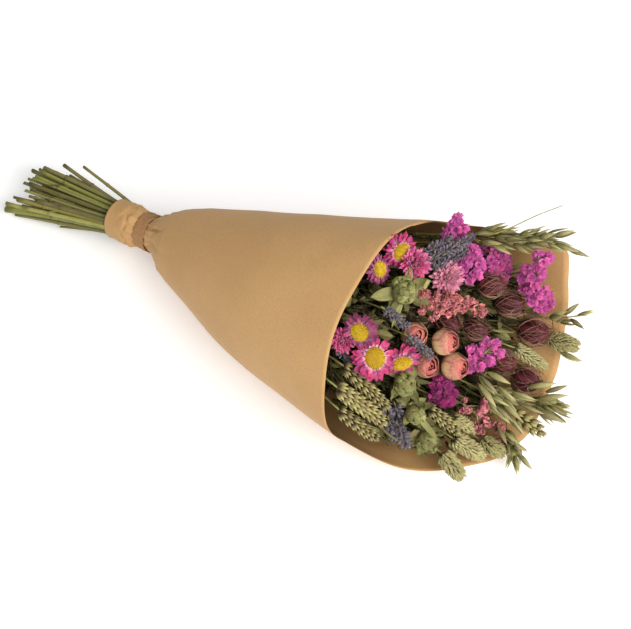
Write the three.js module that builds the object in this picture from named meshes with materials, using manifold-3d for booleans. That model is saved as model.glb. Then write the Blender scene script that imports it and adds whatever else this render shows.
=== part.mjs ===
// A mixed bouquet of dried flowers in a rolled paper cone, lying on its side.
// Millimetres, Z up, X from the stems toward the flowers. The floor is z = 0.
import * as THREE from "three";
import Module from "manifold-3d";

const wasm = await Module();
wasm.setup();
const { Manifold, Mesh } = wasm;
const V = (x, y, z) => new THREE.Vector3(x, y, z);
const rad = THREE.MathUtils.degToRad;
const lerp = THREE.MathUtils.lerp;
const TURN = Math.PI * 2;
const GOLDEN = rad(137.508);

// Main sizes
const TIE = V(-245, 0, 43); // centre of the tied neck
const RISE = rad(12); // the cone's axis climbs toward the mouth
const NEAR = rad(32); // clock angle of the wrap's short side, from up toward -Y
const PAPER = 1.0;
const SEAT = 0.6; // gap from a stem's end to its head
const CONE = [[-48, 29], [-28, 23], [-12, 18.4], [0, 17.2], [12, 21], [35, 37], [80, 53],
  [130, 71], [195, 90], [310, 115], [360, 124], [440, 131]];
const RIM = [[0, 309], [84, 311], [96, 336], [118, 380], [139, 418], [158, 432], [190, 433],
  [208, 427], [234, 424], [258, 428], [266, 418], [274, 312], [360, 309]];
const COLLAR = -48;

const AXIS = V(Math.cos(RISE), 0, Math.sin(RISE));
const SIDE = V(0, 1, 0);
const LIFT = V(-Math.sin(RISE), 0, Math.cos(RISE));

// Small helpers
function table(rows, x) {
  let k = 1;
  while (k < rows.length - 1 && rows[k][0] < x) k += 1;
  const [[x0, y0], [x1, y1]] = [rows[k - 1], rows[k]];
  return lerp(y0, y1, THREE.MathUtils.clamp((x - x0) / (x1 - x0), 0, 1));
}

function dice(seed) {
  let a = seed >>> 0;
  return (low = 0, high = 1) => {
    a = (a + 0x6d2b79f5) >>> 0;
    let t = Math.imul(a ^ (a >>> 15), 1 | a);
    t = (t + Math.imul(t ^ (t >>> 7), 61 | t)) ^ t;
    return low + (high - low) * (((t ^ (t >>> 14)) >>> 0) / 4294967296);
  };
}

const add = (p, ...steps) => {
  const q = p.clone();
  for (const [d, k] of steps) q.addScaledVector(d, k);
  return q;
};

// A closed solid through rings of equal count; a ring of one point is a tip.
function loft(rings) {
  const points = rings.flat();
  const faces = [];
  let at = 0;
  const fan = (start, n, flip) => {
    for (let i = 1; i < n - 1; i += 1) {
      faces.push(flip ? [start, start + i + 1, start + i] : [start, start + i, start + i + 1]);
    }
  };
  if (rings[0].length > 1) fan(0, rings[0].length, true);
  for (let k = 1; k < rings.length; k += 1) {
    const [a, b] = [rings[k - 1].length, rings[k].length];
    const next = at + a;
    const n = Math.max(a, b);
    for (let i = 0; i < n; i += 1) {
      const j = (i + 1) % n;
      if (a === 1) faces.push([at, next + j, next + i]);
      else if (b === 1) faces.push([at + i, at + j, next]);
      else faces.push([at + i, at + j, next + j], [at + i, next + j, next + i]);
    }
    at = next;
  }
  if (rings.at(-1).length > 1) fan(at, rings.at(-1).length, false);
  let volume = 0;
  for (const [i, j, k] of faces) {
    volume += points[i].dot(new THREE.Vector3().crossVectors(points[j], points[k]));
  }
  const triangles = volume < 0 ? faces.map((f) => [f[0], f[2], f[1]]) : faces;
  return new Manifold(new Mesh({
    numProp: 3,
    vertProperties: Float32Array.from(points.flatMap((p) => [p.x, p.y, p.z])),
    triVerts: Uint32Array.from(triangles.flat()),
  }));
}

const fuse = (parts) => Manifold.union(parts);

// An upright pair for a direction: two vectors square to it.
function square(along, hint = V(0.31, 0.52, 0.8)) {
  const u = new THREE.Vector3().crossVectors(along, hint).normalize();
  return [u, new THREE.Vector3().crossVectors(along, u).normalize()];
}

function ring(centre, u, v, ru, rv, sides, turn = 0) {
  return Array.from({ length: sides }, (_, i) => {
    const a = turn + (i / sides) * TURN;
    return add(centre, [u, Math.cos(a) * ru], [v, Math.sin(a) * rv]);
  });
}

// A round stick through points, with a radius at each.
function stick(path, radii, sides = 4) {
  let [u] = square(path[1].clone().sub(path[0]).normalize());
  const rings = path.map((p, i) => {
    const from = path[Math.max(0, i - 1)];
    const to = path[Math.min(path.length - 1, i + 1)];
    const along = to.clone().sub(from).normalize();
    u = u.addScaledVector(along, -u.dot(along)).normalize();
    const v = new THREE.Vector3().crossVectors(along, u);
    return ring(p, u.clone(), v, radii[i], radii[i], sides);
  });
  return loft(rings);
}

// A pointed grain, flattened where flat is under one.
function grain(root, along, length, width, flat = 1, sides = 4, belly = 0.45, hint = undefined) {
  const [u, v] = square(along, hint);
  const mid = add(root, [along, length * belly]);
  return loft([[root], ring(mid, u, v, width / 2, (width * flat) / 2, sides),
    [add(root, [along, length])]]);
}

// A rounded body with tips at both ends, ribbed where ribs is above zero.
function body(root, along, length, width, sides, ribs = 0, heights = [0.22, 0.55, 0.85]) {
  const [u, v] = square(along);
  const rings = heights.map((h) => {
    const r = (width / 2) * Math.sqrt(Math.max(0.05, 1 - (2 * h - 1) ** 2));
    return Array.from({ length: sides }, (_, i) => {
      const a = (i / sides) * TURN;
      const k = r * (i % 2 ? 1 - ribs : 1);
      return add(root, [along, length * h], [u, Math.cos(a) * k], [v, Math.sin(a) * k]);
    });
  });
  return loft([[root], ...rings, [add(root, [along, length])]]);
}

// The planting list. at: the middle of a head; to: the tip of a long one; faces: where it
// looks; bend: a point its stem passes. Every value is in the part's own frame.
const DAISIES = [
  { name: "daisy_1", at: V(46, 24, 208), faces: V(0.14, 0.28, 0.95), r: 17, disc: true },
  { name: "daisy_2", at: V(60, 26, 192), faces: V(0.42, -0.43, 0.8), r: 12.5, disc: false },
  { name: "daisy_3", at: V(38, -4, 205), faces: V(0.18, -0.62, 0.76), r: 16, disc: true },
  { name: "daisy_4", at: V(58, -57, 194), faces: V(0.2, -0.29, 0.94), r: 19, disc: true },
  { name: "daisy_5", at: V(45, -69, 180), faces: V(0.13, -0.63, 0.77), r: 13, disc: false },
  { name: "daisy_6", at: V(75, -63, 169), faces: V(0.27, -0.44, 0.85), r: 22, disc: true },
  { name: "daisy_7", at: V(93, -44, 152), faces: V(0.14, 0.24, 0.96), r: 19, disc: true },
  { name: "daisy_8", at: V(89, 37, 186), faces: V(0.35, -0.46, 0.81), r: 17, disc: false },
];
const ROSES = [
  { name: "rose_1", at: V(114, -2, 149), faces: V(0.52, -0.12, 0.85), r: 11.5 },
  { name: "rose_2", at: V(129, -6, 124), faces: V(0.69, -0.39, 0.61), r: 12 },
  { name: "rose_3", at: V(108, -23, 131), faces: V(0.41, -0.42, 0.81), r: 11 },
  { name: "rose_4", at: V(87, -13, 151), faces: V(0.42, -0.42, 0.81), r: 12 },
];
const NIGELLAS = [
  { name: "nigella_1", at: V(164, 93, 85), faces: V(0.84, 0.05, 0.54), r: 16 },
  { name: "nigella_2", at: V(179, 62, 48), faces: V(0.91, -0.08, 0.42), r: 15 },
  { name: "nigella_3", at: V(137, 84, 123), faces: V(0.86, 0.22, 0.46), r: 14 },
  { name: "nigella_4", at: V(155, 50, 78), faces: V(0.9, 0.08, 0.44), r: 13 },
  { name: "nigella_5", at: V(105, 19, 145), faces: V(0.82, -0.25, 0.51), r: 12 },
  { name: "nigella_6", at: V(119, 72, 156), faces: V(0.82, 0.26, 0.51), r: 13 },
  { name: "nigella_7", at: V(123, 42, 121), faces: V(0.88, 0.07, 0.48), r: 12 },
];
const BUDS = [
  { name: "bud_1", at: V(69, -6, 200), faces: V(0.21, -0.58, 0.79), r: 15 },
  { name: "bud_2", at: V(103, -52, 132), faces: V(0.61, -0.52, 0.6), r: 15 },
  { name: "bud_3", at: V(120, -59, 103), faces: V(0.64, -0.57, 0.51), r: 13 },
  { name: "bud_4", at: V(137, -59, 66), faces: V(0.77, -0.56, 0.29), r: 14 },
];
const LAVENDERS = [
  { name: "lavender_1", at: V(69, 31, 202), to: V(91, 79, 204), r: 6.5, bend: V(69, 44, 188) },
  { name: "lavender_2", at: V(62, -28, 193), to: V(86, -23, 175), r: 6.5 },
  { name: "lavender_3", at: V(87, -27, 169), to: V(113, -22, 148), r: 6.5 },
  { name: "lavender_4", at: V(43, -73, 167), to: V(69, -67, 148), r: 6 },
  { name: "lavender_5", at: V(94, -63, 108), to: V(124, -75, 65), r: 8.5 },
];
const STATICES = [
  { name: "statice_1", at: V(70, 68, 190), to: V(73, 85, 210), r: 9 },
  { name: "statice_2", at: V(100, 58, 166), to: V(86, 75, 190), r: 12 },
  { name: "statice_3", at: V(118, 88, 143), to: V(101, 96, 172), r: 12 },
  { name: "statice_4", at: V(155, 104, 104), to: V(151, 88, 212), r: 13 },
  { name: "statice_5", at: V(133, 14, 108), to: V(148, 50, 103), r: 12 },
  { name: "statice_6", at: V(125, -34, 106), to: V(133, -16, 106), r: 12 },
];
const CORALS = [
  { name: "coral_1", at: V(93, 8, 174), to: V(123, 50, 146), r: 7 },
  { name: "coral_2", at: V(147, -10, 75), to: V(177, 13, 22), r: 8 },
];
const WHEATS = [
  { name: "wheat_1", at: V(55, -82, 163), to: V(101, -71, 111), r: 7 },
  { name: "wheat_2", at: V(60, -99, 156), to: V(105, -82, 105), r: 8.5 },
  { name: "wheat_3", at: V(69, -105, 133), to: V(106, -90, 87), r: 7.5 },
  { name: "wheat_4", at: V(187, 38, 18), to: V(221, 34, 22), r: 6 },
  { name: "wheat_5", at: V(126, -43, 98), to: V(157, -29, 55), r: 6 },
];
const CANARIES = [
  { name: "canary_1", at: V(157, 69, 81), to: V(190, 85, 51), r: 8.5 },
  { name: "canary_2", at: V(178, 103, 71), to: V(210, 106, 80), r: 9.5 },
  { name: "canary_3", at: V(150, -50, 42), to: V(180, -58, 30), r: 9 },
  { name: "canary_4", at: V(151, -33, 47), to: V(182, -18, 14), r: 9 },
  { name: "canary_5", at: V(175, -3, 11), to: V(202, -6, 14), r: 7 },
  { name: "canary_6", at: V(143, -24, 66), to: V(164, -7, 35), r: 7.5 },
];
const OATS = [
  { name: "oat_1", at: V(87, 90, 188), to: V(171, 110, 219), r: 10 },
  { name: "oat_2", at: V(173, 112, 92), to: V(206, 119, 118), r: 7 },
  { name: "oat_3", at: V(154, 16, 71), to: V(186, 44, 28), r: 11 },
  { name: "oat_4", at: V(193, 58, 31), to: V(231, 57, 37), r: 12 },
  { name: "oat_5", at: V(188, 14, 22), to: V(219, -15, 26), r: 8 },
];

// The paper wrap. It is flatter along its back and fuller low on its near side.
function pressed(s, clock) {
  const toward = (c) => Math.max(0, Math.cos(rad(clock - c))) ** 2;
  const back = Math.sin(Math.PI * THREE.MathUtils.clamp((s - 70) / 230, 0, 1));
  return -7 * back * toward(270) + 3 * Math.exp(-(((s - 150) / 45) ** 2)) * toward(88);
}

function wrapPoint(s, clock, inset) {
  const angle = NEAR + rad(clock);
  const pleat = 0.7 * Math.cos(9 * angle) * Math.exp(-((s / 16) ** 2));
  const u = THREE.MathUtils.clamp((s - 270) / 160, 0, 1);
  const sway = 9 * u * u * (3 - 2 * u);
  const r = table(CONE, s) + pleat + pressed(s, clock) - inset;
  const p = add(TIE, [AXIS, s], [LIFT, r * Math.cos(angle)], [SIDE, -r * Math.sin(angle) + sway]);
  p.z = Math.max(p.z, inset);
  return p;
}

function wrapSheet() {
  const clocks = [];
  for (let c = 0; c < 360; c += 12) clocks.push(c === 264 ? 266 : c === 276 ? 274 : c);
  const stations = [COLLAR, -28, -12, 0, 12, 35, 80, 130, 195, 255];
  const tail = [0.34, 0.67, 1];
  const grid = (inset) => clocks.map((c) => {
    const end = table(RIM, c);
    const rows = [...stations, ...tail.map((t) => lerp(255, end, t))];
    return rows.map((s) => wrapPoint(s, c, inset));
  });
  const [outer, inner] = [grid(0), grid(PAPER)];
  const rows = outer[0].length;
  const n = clocks.length;
  const points = [...outer.flat(), ...inner.flat()];
  const id = (side, c, r) => side * n * rows + (c % n) * rows + r;
  const faces = [];
  const quad = (a, b, c, d) => faces.push([a, b, c], [a, c, d]);
  for (let c = 0; c < n; c += 1) {
    for (let r = 0; r < rows - 1; r += 1) {
      quad(id(0, c, r), id(0, c, r + 1), id(0, c + 1, r + 1), id(0, c + 1, r));
      quad(id(1, c, r), id(1, c + 1, r), id(1, c + 1, r + 1), id(1, c, r + 1));
    }
    quad(id(0, c, 0), id(0, c + 1, 0), id(1, c + 1, 0), id(1, c, 0));
    quad(id(0, c, rows - 1), id(1, c, rows - 1), id(1, c + 1, rows - 1), id(0, c + 1, rows - 1));
  }
  let volume = 0;
  for (const [i, j, k] of faces) {
    volume += points[i].dot(new THREE.Vector3().crossVectors(points[j], points[k]));
  }
  const triangles = volume < 0 ? faces.map((f) => [f[0], f[2], f[1]]) : faces;
  return new Manifold(new Mesh({
    numProp: 3,
    vertProperties: Float32Array.from(points.flatMap((p) => [p.x, p.y, p.z])),
    triVerts: Uint32Array.from(triangles.flat()),
  }));
}

// The band tied round the neck, over the paper
function tieBand() {
  const hoops = [[-7, 19.2], [7, 20.6], [7, 22.4], [-7, 21.2]];
  const sides = 21;
  const loops = hoops.map(([s, r]) => Array.from({ length: sides }, (_, i) => {
    const a = (i / sides) * TURN;
    const k = r + 0.25 * Math.cos(7 * a);
    return add(TIE, [AXIS, s], [LIFT, k * Math.cos(a)], [SIDE, -k * Math.sin(a)]);
  }));
  const points = loops.flat();
  const faces = [];
  for (let h = 0; h < 4; h += 1) {
    const g = (h + 1) % 4;
    for (let i = 0; i < sides; i += 1) {
      const j = (i + 1) % sides;
      faces.push([h * sides + i, h * sides + j, g * sides + j],
        [h * sides + i, g * sides + j, g * sides + i]);
    }
  }
  let volume = 0;
  for (const [i, j, k] of faces) {
    volume += points[i].dot(new THREE.Vector3().crossVectors(points[j], points[k]));
  }
  const triangles = volume < 0 ? faces.map((f) => [f[0], f[2], f[1]]) : faces;
  return new Manifold(new Mesh({
    numProp: 3,
    vertProperties: Float32Array.from(points.flatMap((p) => [p.x, p.y, p.z])),
    triVerts: Uint32Array.from(triangles.flat()),
  }));
}

// Flower heads, each built round its own direction
function axesOf(d) {
  const f = d.faces.clone().normalize();
  const [u, v] = square(f);
  return { f, u, v, out: (a) => add(V(0, 0, 0), [u, Math.cos(a)], [v, Math.sin(a)]) };
}

// One layer of separate petals: a star-shaped plate with rounded, lifted tips.
function petalLayer(d, count, reach, lift, base, turn, roll) {
  const { f, out } = axesOf(d);
  const outline = [];
  for (let i = 0; i < count; i += 1) {
    const long = reach * roll(0.93, 1.04);
    const up = lift + roll(-0.8, 0.8);
    const step = TURN / count;
    const shape = [[0, 0.34, 0.2], [0.27, 0.93, 0.9], [0.5, 1, 1], [0.73, 0.93, 0.9]];
    for (const [turnBy, far, high] of shape) {
      outline.push({ o: out(turn + (i + turnBy) * step), r: long * far, h: base + up * high });
    }
  }
  const level = (rise) => outline.map(({ o, r, h }) => add(d.at, [o, r], [f, h + rise]));
  return loft([[add(d.at, [f, base - 1.6])], level(-0.4), level(0.4), [add(d.at, [f, base + 1.2])]]);
}

function daisyPetals(d) {
  const { f } = axesOf(d);
  const roll = dice(Math.round(d.r * 31 + d.at.x));
  const parts = [petalLayer(d, d.disc ? 10 : 8, d.r, d.disc ? 3.5 : 1.5, -1.8, 0, roll),
    stick([add(d.at, [f, -8]), add(d.at, [f, -5]), add(d.at, [f, -1.2])], [1.3, 2.6, 4.4], 5)];
  if (!d.disc) parts.push(petalLayer(d, 5, d.r * 0.66, 3.5, 0.4, 0.3, roll));
  return fuse(parts);
}

function daisyDisc(d) {
  const { f, u, v } = axesOf(d);
  const r = d.r * 0.4;
  const low = -0.3;
  const level = (h, k) => ring(add(d.at, [f, low + h]), u, v, r * k, r * k, 8);
  return loft([[add(d.at, [f, low])], level(1.3, 0.95), level(3.2, 0.8), [add(d.at, [f, low + 4.2])]]);
}

// A half-open bud: five outer petals wrapped like a spiral, open at the top.
function roseHead(d) {
  const { f, out } = axesOf(d);
  const root = add(d.at, [f, -d.r * 0.85]);
  const level = (h, k, twist, turned = 0) => {
    const points = [];
    for (let i = 0; i < 5; i += 1) {
      for (const [t, far] of [[0, 0.84], [0.16, 1], [0.6, 1.04]]) {
        points.push(add(root, [f, d.r * h], [out(turned + ((i + t) * TURN) / 5), d.r * k * (1 + (far - 1) * twist)]));
      }
    }
    return points;
  };
  return fuse([
    loft([[add(root, [f, -1])], level(0.3, 0.6, 0.3), level(0.95, 0.98, 1), level(1.55, 0.86, 1.2, 0.1),
      level(1.75, 0.6, 1.2, 0.2), level(1.5, 0.46, 0.8, 0.3), [add(root, [f, d.r * 1.7])]]),
    stick([add(root, [f, -4]), add(root, [f, 0.3]), add(root, [f, d.r * 0.5])], [1.2, 1.9, 2.4], 4),
    ...[0, 1, 2, 3].map((i) => grain(add(root, [f, -1.2]), add(f, [out(i * 1.57), 1.1]).normalize(),
      d.r * 0.95, 3, 0.4, 4, 0.4, out(i * 1.57)))]);
}

function nigellaPod(d) {
  const { f, out } = axesOf(d);
  const root = add(d.at, [f, -d.r * 0.9]);
  const parts = [body(root, f, d.r * 1.65, d.r * 1.5, 10, 0.15, [0.16, 0.5, 0.84]),
    stick([add(root, [f, -4]), add(root, [f, 2])], [1.1, 1.5], 3)];
  for (let i = 0; i < 5; i += 1) {
    const o = out((i / 5) * TURN);
    parts.push(grain(add(root, [f, d.r * 1.4], [o, 1.3]), add(f, [o, 0.8]).normalize(), d.r * 0.62, 1.7, 1, 3));
  }
  for (let i = 0; i < 5; i += 1) {
    const o = out((i / 5) * TURN + 0.3);
    parts.push(grain(add(root, [f, 0.6]), add(o, [f, 0.62 + 0.2 * (i % 2)]).normalize(), d.r * 1.15, 1.3, 0.8, 3));
  }
  return fuse(parts);
}

function leafyBud(d) {
  const { f, out } = axesOf(d);
  const root = add(d.at, [f, -d.r * 0.9]);
  const parts = [body(root, f, d.r * 1.62, d.r * 1.2, 10, 0.24, [0.2, 0.5, 0.84]),
    stick([add(root, [f, -4]), add(root, [f, 2])], [1.3, 1.8], 4)];
  for (const [count, tilt, length, wide] of [[5, 0.72, 1.3, 0.42], [3, 1.7, 1.15, 0.36]]) {
    for (let i = 0; i < count; i += 1) {
      const o = out((i / count) * TURN + tilt);
      parts.push(grain(add(root, [f, 1.2]), add(f, [o, tilt]).normalize(), d.r * length,
        d.r * wide, 0.2, 4, 0.5, o));
    }
  }
  return fuse(parts);
}

// Long heads run from their foot to their tip
function reach(d) {
  const along = d.to.clone().sub(d.at);
  const length = along.length();
  along.normalize();
  const [u, v] = square(along);
  return { along, length, u, v, out: (a) => add(V(0, 0, 0), [u, Math.cos(a)], [v, Math.sin(a)]) };
}

// A spike of pointed rings: every tier flares to points and draws in again.
function tiered(d, tiers, points, wide, narrow, drop, start = 0.06) {
  const { along, length, out } = reach(d);
  const rings = [[d.at.clone()]];
  const step = (1 - start) / (tiers + 0.6);
  const level = (t, k, cut, odd) => Array.from({ length: points * 2 }, (_, i) => {
    const low = (i + odd) % 2;
    const rise = low ? 0 : step * 0.42;
    return add(d.at, [along, length * (t + rise)], [out((i / (points * 2)) * TURN), d.r * (low ? k * cut : k)]);
  });
  for (let k = 0; k < tiers; k += 1) {
    const t = start + k * step;
    const swell = Math.sqrt(Math.max(0.2, 1 - (1.7 * (t + 0.3 * step) - 0.72) ** 2));
    rings.push(level(t, narrow * swell, 1, k), level(t + step * drop, wide * swell, 0.62, k));
  }
  rings.push([add(d.at, [along, length])]);
  return loft(rings);
}

const lavenderSpike = (d) => tiered(d, Math.max(4, Math.round(d.at.distanceTo(d.to) / 8)), 4, 1, 0.46, 0.54);
const canaryHead = (d) => tiered(d, 5, 5, 0.98, 0.74, 0.5);

function wheatEar(d) {
  const { along, length, u, v } = reach(d);
  const parts = [stick([d.at, add(d.at, [along, length * 0.88])], [1.5, 1.1], 4)];
  const rows = Math.round(length / 13);
  for (let k = 0; k < rows; k += 1) {
    const t = 0.05 + (0.76 * k) / (rows - 1);
    for (const side of [-1, 1]) {
      const dir = add(along, [u, side * 0.4]).normalize();
      parts.push(grain(add(d.at, [along, length * t + (side > 0 ? 4 : 0)], [u, side * 0.5]), dir,
        d.r * 1.8, d.r * 1.1 * (1 - 0.3 * t), 1.1, 4, 0.42, v));
    }
  }
  parts.push(grain(add(d.at, [along, length * 0.82]), along, length * 0.18, d.r * 0.7));
  return fuse(parts);
}

function oatPanicle(d) {
  const { along, length, out } = reach(d);
  const parts = [stick([d.at, add(d.at, [along, length * 0.9])], [1.0, 0.7], 3)];
  const count = Math.max(4, Math.round(length / 12));
  for (let k = 0; k < count; k += 1) {
    const t = 0.08 + (0.8 * k) / (count - 1);
    const o = out(k * GOLDEN);
    const side = new THREE.Vector3().crossVectors(along, o);
    for (const split of [-1, 1]) {
      const dir = add(along, [o, 0.4], [side, split * 0.2]).normalize();
      parts.push(grain(add(d.at, [along, length * t - 1]), dir, 17, 4, 0.45, 4, 0.6, side));
    }
  }
  return fuse(parts);
}

// A spray of small open florets, each on its own stalk from the middle stem.
function floretSpray(d, heads, make) {
  const { along, length, out } = reach(d);
  const parts = [stick([d.at, add(d.at, [along, length * 0.95])], [1.3, 0.9], 4)];
  for (let k = 0; k < heads; k += 1) {
    const t = 0.08 + (0.82 * k) / Math.max(1, heads - 1);
    const o = out(k * GOLDEN);
    const far = d.r * (1 - 0.3 * t) * (k % 3 === 1 ? 0.72 : 1);
    parts.push(make(add(d.at, [along, length * t - 1]), add(o, [along, 0.7]).normalize(), far));
  }
  return fuse(parts);
}

// A floret: a point at the stem, an open rim, and a hollow inside the rim.
function floret(root, dir, far, width, points, notch) {
  const [u, v] = square(dir);
  const rim = Array.from({ length: points * (notch ? 2 : 1) }, (_, i, n = points * (notch ? 2 : 1)) => {
    const r = (width / 2) * (notch && i % 2 ? 1 - notch : 1);
    return add(root, [dir, far], [u, Math.cos((i / n) * TURN) * r], [v, Math.sin((i / n) * TURN) * r]);
  });
  return loft([[root], rim, [add(root, [dir, far * 0.72])]]);
}

const staticeSpray = (d) => floretSpray(d, Math.round(4 + d.at.distanceTo(d.to) / 8),
  (root, dir, far) => floret(root, dir, far, 8, 4, 0));
const coralSpray = (d) => floretSpray(d, 6, (root, dir, far) => floret(root, dir, far, 10, 4, 0.45));

// Where a stem meets each kind of head, behind its middle
const SHANK = { daisy: 8, rose: 0.85, nigella: 0.9, bud: 0.9 };
function foot(d) {
  if (d.to) {
    const along = d.to.clone().sub(d.at).normalize();
    return { point: d.at.clone(), along };
  }
  const along = d.faces.clone().normalize();
  const kind = d.name.split("_")[0];
  const depth = kind === "daisy" ? SHANK.daisy : d.r * SHANK[kind] + 4;
  return { point: add(d.at, [along, -depth]), along };
}

// Stems: each runs from a cut end, through its own place in the neck, to its head
function place(p) {
  const q = p.clone().sub(TIE);
  return [q.dot(SIDE), q.dot(LIFT), q.dot(AXIS)];
}

// Places in the neck keep the order of the heads, so that no two stems cross.
function neckPlaces(heads) {
  const spots = heads.map((d) => {
    const [side, up, s] = place(bendOf(d));
    return [(side / s) * 30, (up / s) * 30];
  });
  for (let round = 0; round < 400; round += 1) {
    spots.forEach((p, i) => {
      spots.forEach((q, j) => {
        const gap = Math.hypot(q[0] - p[0], q[1] - p[1]) || 0.01;
        if (i === j || gap >= 3) return;
        const push = ((3 - gap) / gap) * 0.25;
        for (const k of [0, 1]) {
          const step = (q[k] - p[k]) * push;
          p[k] -= step;
          q[k] += step;
        }
      });
      const far = Math.hypot(...p);
      if (far > 12.2) p.forEach((x, k) => { p[k] = (x * 12.2) / far; });
    });
  }
  return spots;
}

const inNeck = (s, a, b) => add(TIE, [AXIS, s], [SIDE, a], [LIFT, b]);

const endOf = (d) => add(foot(d).point, [foot(d).along, -SEAT]);
function bendOf(d) {
  if (d.bend) return d.bend.clone();
  const end = endOf(d);
  const home = end.clone().sub(TIE).normalize();
  return add(end, [foot(d).along, d.to ? -4 : -14], [home, d.to ? -14 : -6]);
}

// Each stem is two runs that sink into the pressed neck: its cut end, and its head.
function stemBundle(heads, seed) {
  const roll = dice(seed);
  const spots = neckPlaces(heads);
  return heads.flatMap((d, i) => {
    const [a, b] = spots[i];
    const fan = (s) => {
      const across = a * (1 + s / 85) - 15 * (s / 170) ** 1.5;
      return inNeck(-s, across, b * (1 + s / (b < 0 ? 330 : 130)) + 15 * (s / 170) ** 2);
    };
    const thick = roll(1.4, 1.9);
    return [
      stick([fan(roll(128, 175)), fan(80), inNeck(-7, a, b)], [thick * 1.1, thick, 1.25]),
      stick([inNeck(7, a, b), bendOf(d), endOf(d)], [1.25, 1.25, 0.7], 3)];
  });
}

// At the neck the stems are pressed into one another
const hoop = (s, r) => Array.from({ length: 16 }, (_, i) => {
  const a = (i / 16) * TURN;
  return add(TIE, [AXIS, s], [LIFT, r * Math.cos(a)], [SIDE, r * Math.sin(a)]);
});
const pressedNeck = () => loft([hoop(-8, 13.6), hoop(-3, 15), hoop(3, 15), hoop(8, 13.6)]);

const HEADS = [...DAISIES, ...ROSES, ...NIGELLAS, ...BUDS, ...LAVENDERS, ...STATICES, ...CORALS,
  ...WHEATS, ...CANARIES, ...OATS];

export const nodes = new Map();
nodes.set("wrap", wrapSheet());
nodes.set("tie_band", tieBand());
nodes.set("stems", fuse([...stemBundle(HEADS, 11), pressedNeck()]));
for (const d of DAISIES) {
  nodes.set(`${d.name}_petals`, daisyPetals(d));
  if (d.disc) nodes.set(`${d.name}_disc`, daisyDisc(d));
}
const KINDS = [[ROSES, roseHead], [NIGELLAS, nigellaPod], [BUDS, leafyBud], [LAVENDERS, lavenderSpike],
  [STATICES, staticeSpray], [CORALS, coralSpray], [WHEATS, wheatEar], [CANARIES, canaryHead],
  [OATS, oatPanicle]];
for (const [list, make] of KINDS) for (const d of list) nodes.set(d.name, make(d));

const COLOURS = { wrap: 0xb8935f, tie_band: 0xa07a5a, stems: 0x7f8048,
  rose: 0xe0a080, nigella: 0x6a3440, bud: 0x8a9458, lavender: 0x6f6c8c, statice: 0xb04ca8,
  coral: 0xd87878, wheat: 0xb8ac74, canary: 0xaab080, oat: 0xa6ab78 };

function toMesh(name, solid) {
  const mesh = solid.getMesh();
  const geometry = new THREE.BufferGeometry();
  const flat = new Float32Array(mesh.numVert * 3);
  for (let i = 0; i < mesh.numVert; i += 1) {
    for (let k = 0; k < 3; k += 1) flat[i * 3 + k] = mesh.vertProperties[i * mesh.numProp + k];
  }
  geometry.setAttribute("position", new THREE.BufferAttribute(flat, 3));
  geometry.setIndex(new THREE.BufferAttribute(mesh.triVerts, 1));
  geometry.computeVertexNormals();
  const kind = name.includes("disc") ? 0xd8b030 : name.includes("petals") ? 0xd45a94
    : COLOURS[name] ?? COLOURS[name.split("_")[0]];
  const result = new THREE.Mesh(geometry, new THREE.MeshStandardMaterial({ color: kind, roughness: 0.8 }));
  result.name = name;
  return result;
}

const bouquet = new THREE.Group();
bouquet.name = "bouquet";
for (const [name, solid] of nodes) bouquet.add(toMesh(name, solid));
export default bouquet;
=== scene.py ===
"""The looks of a mixed dried flower bouquet in a rolled paper cone, lying on its side.

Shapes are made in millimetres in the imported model's frame, and each finished piece is scaled to
metres once. The planting list names the heads as the part's source does. Some of them are moved,
turned or sized a little differently here, to meet the photo.
"""

import logging
import math
from array import array
from dataclasses import dataclass, field, replace
from enum import Enum
from functools import cache
from typing import ClassVar, Iterable, Optional, Sequence

import bmesh
import bpy
from mathutils import Color, Matrix, Vector, noise
from mathutils.geometry import interpolate_bezier


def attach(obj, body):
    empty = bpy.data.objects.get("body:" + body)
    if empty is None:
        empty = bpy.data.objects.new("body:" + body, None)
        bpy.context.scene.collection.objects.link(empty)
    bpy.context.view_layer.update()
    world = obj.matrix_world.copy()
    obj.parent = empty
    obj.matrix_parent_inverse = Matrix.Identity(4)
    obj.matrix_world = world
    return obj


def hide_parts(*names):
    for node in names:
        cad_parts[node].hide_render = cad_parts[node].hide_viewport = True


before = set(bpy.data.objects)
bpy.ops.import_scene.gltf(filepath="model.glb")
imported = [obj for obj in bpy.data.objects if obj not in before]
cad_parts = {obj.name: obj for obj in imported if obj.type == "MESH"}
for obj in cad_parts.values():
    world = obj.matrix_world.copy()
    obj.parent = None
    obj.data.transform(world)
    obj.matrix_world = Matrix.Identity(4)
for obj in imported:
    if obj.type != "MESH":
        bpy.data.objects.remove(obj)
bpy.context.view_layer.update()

LOG = logging.getLogger("bouquet")
MM = 0.001
TURN = 2.0 * math.pi
QUARTER = math.pi / 2
GOLDEN = math.radians(137.508)
BODY = "root"
SEAT = 0.6
STRAIGHT = 0.01
LAYERS = ("grow", "side", "lot")
Rgb = tuple[int, int, int]
Spot = tuple[float, float, float]
Rows = Sequence[tuple[float, float]]

# The cone and its neck, as in the part's source but for a collar 2 mm shorter
TIE = Vector((-245.0, 0.0, 43.0))
RISE = math.radians(12.0)
NEAR = math.radians(32.0)
COLLAR = -46.0
CONE: Rows = ((-48, 29), (-28, 23), (-12, 18.4), (0, 17.2), (12, 21), (35, 37), (80, 53),
              (130, 71), (195, 90), (310, 115), (360, 124), (440, 131))
RIM: Rows = ((0, 309), (84, 311), (96, 336), (118, 380), (139, 418), (158, 432), (190, 433),
             (208, 427), (234, 424), (258, 428), (266, 418), (274, 312), (360, 309))
AXIS = Vector((math.cos(RISE), 0.0, math.sin(RISE)))
SIDE = Vector((0.0, 1.0, 0.0))
LIFT = Vector((-math.sin(RISE), 0.0, math.cos(RISE)))
SHOWN = Vector((0.30, -0.445, 0.843)).normalized()


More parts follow.
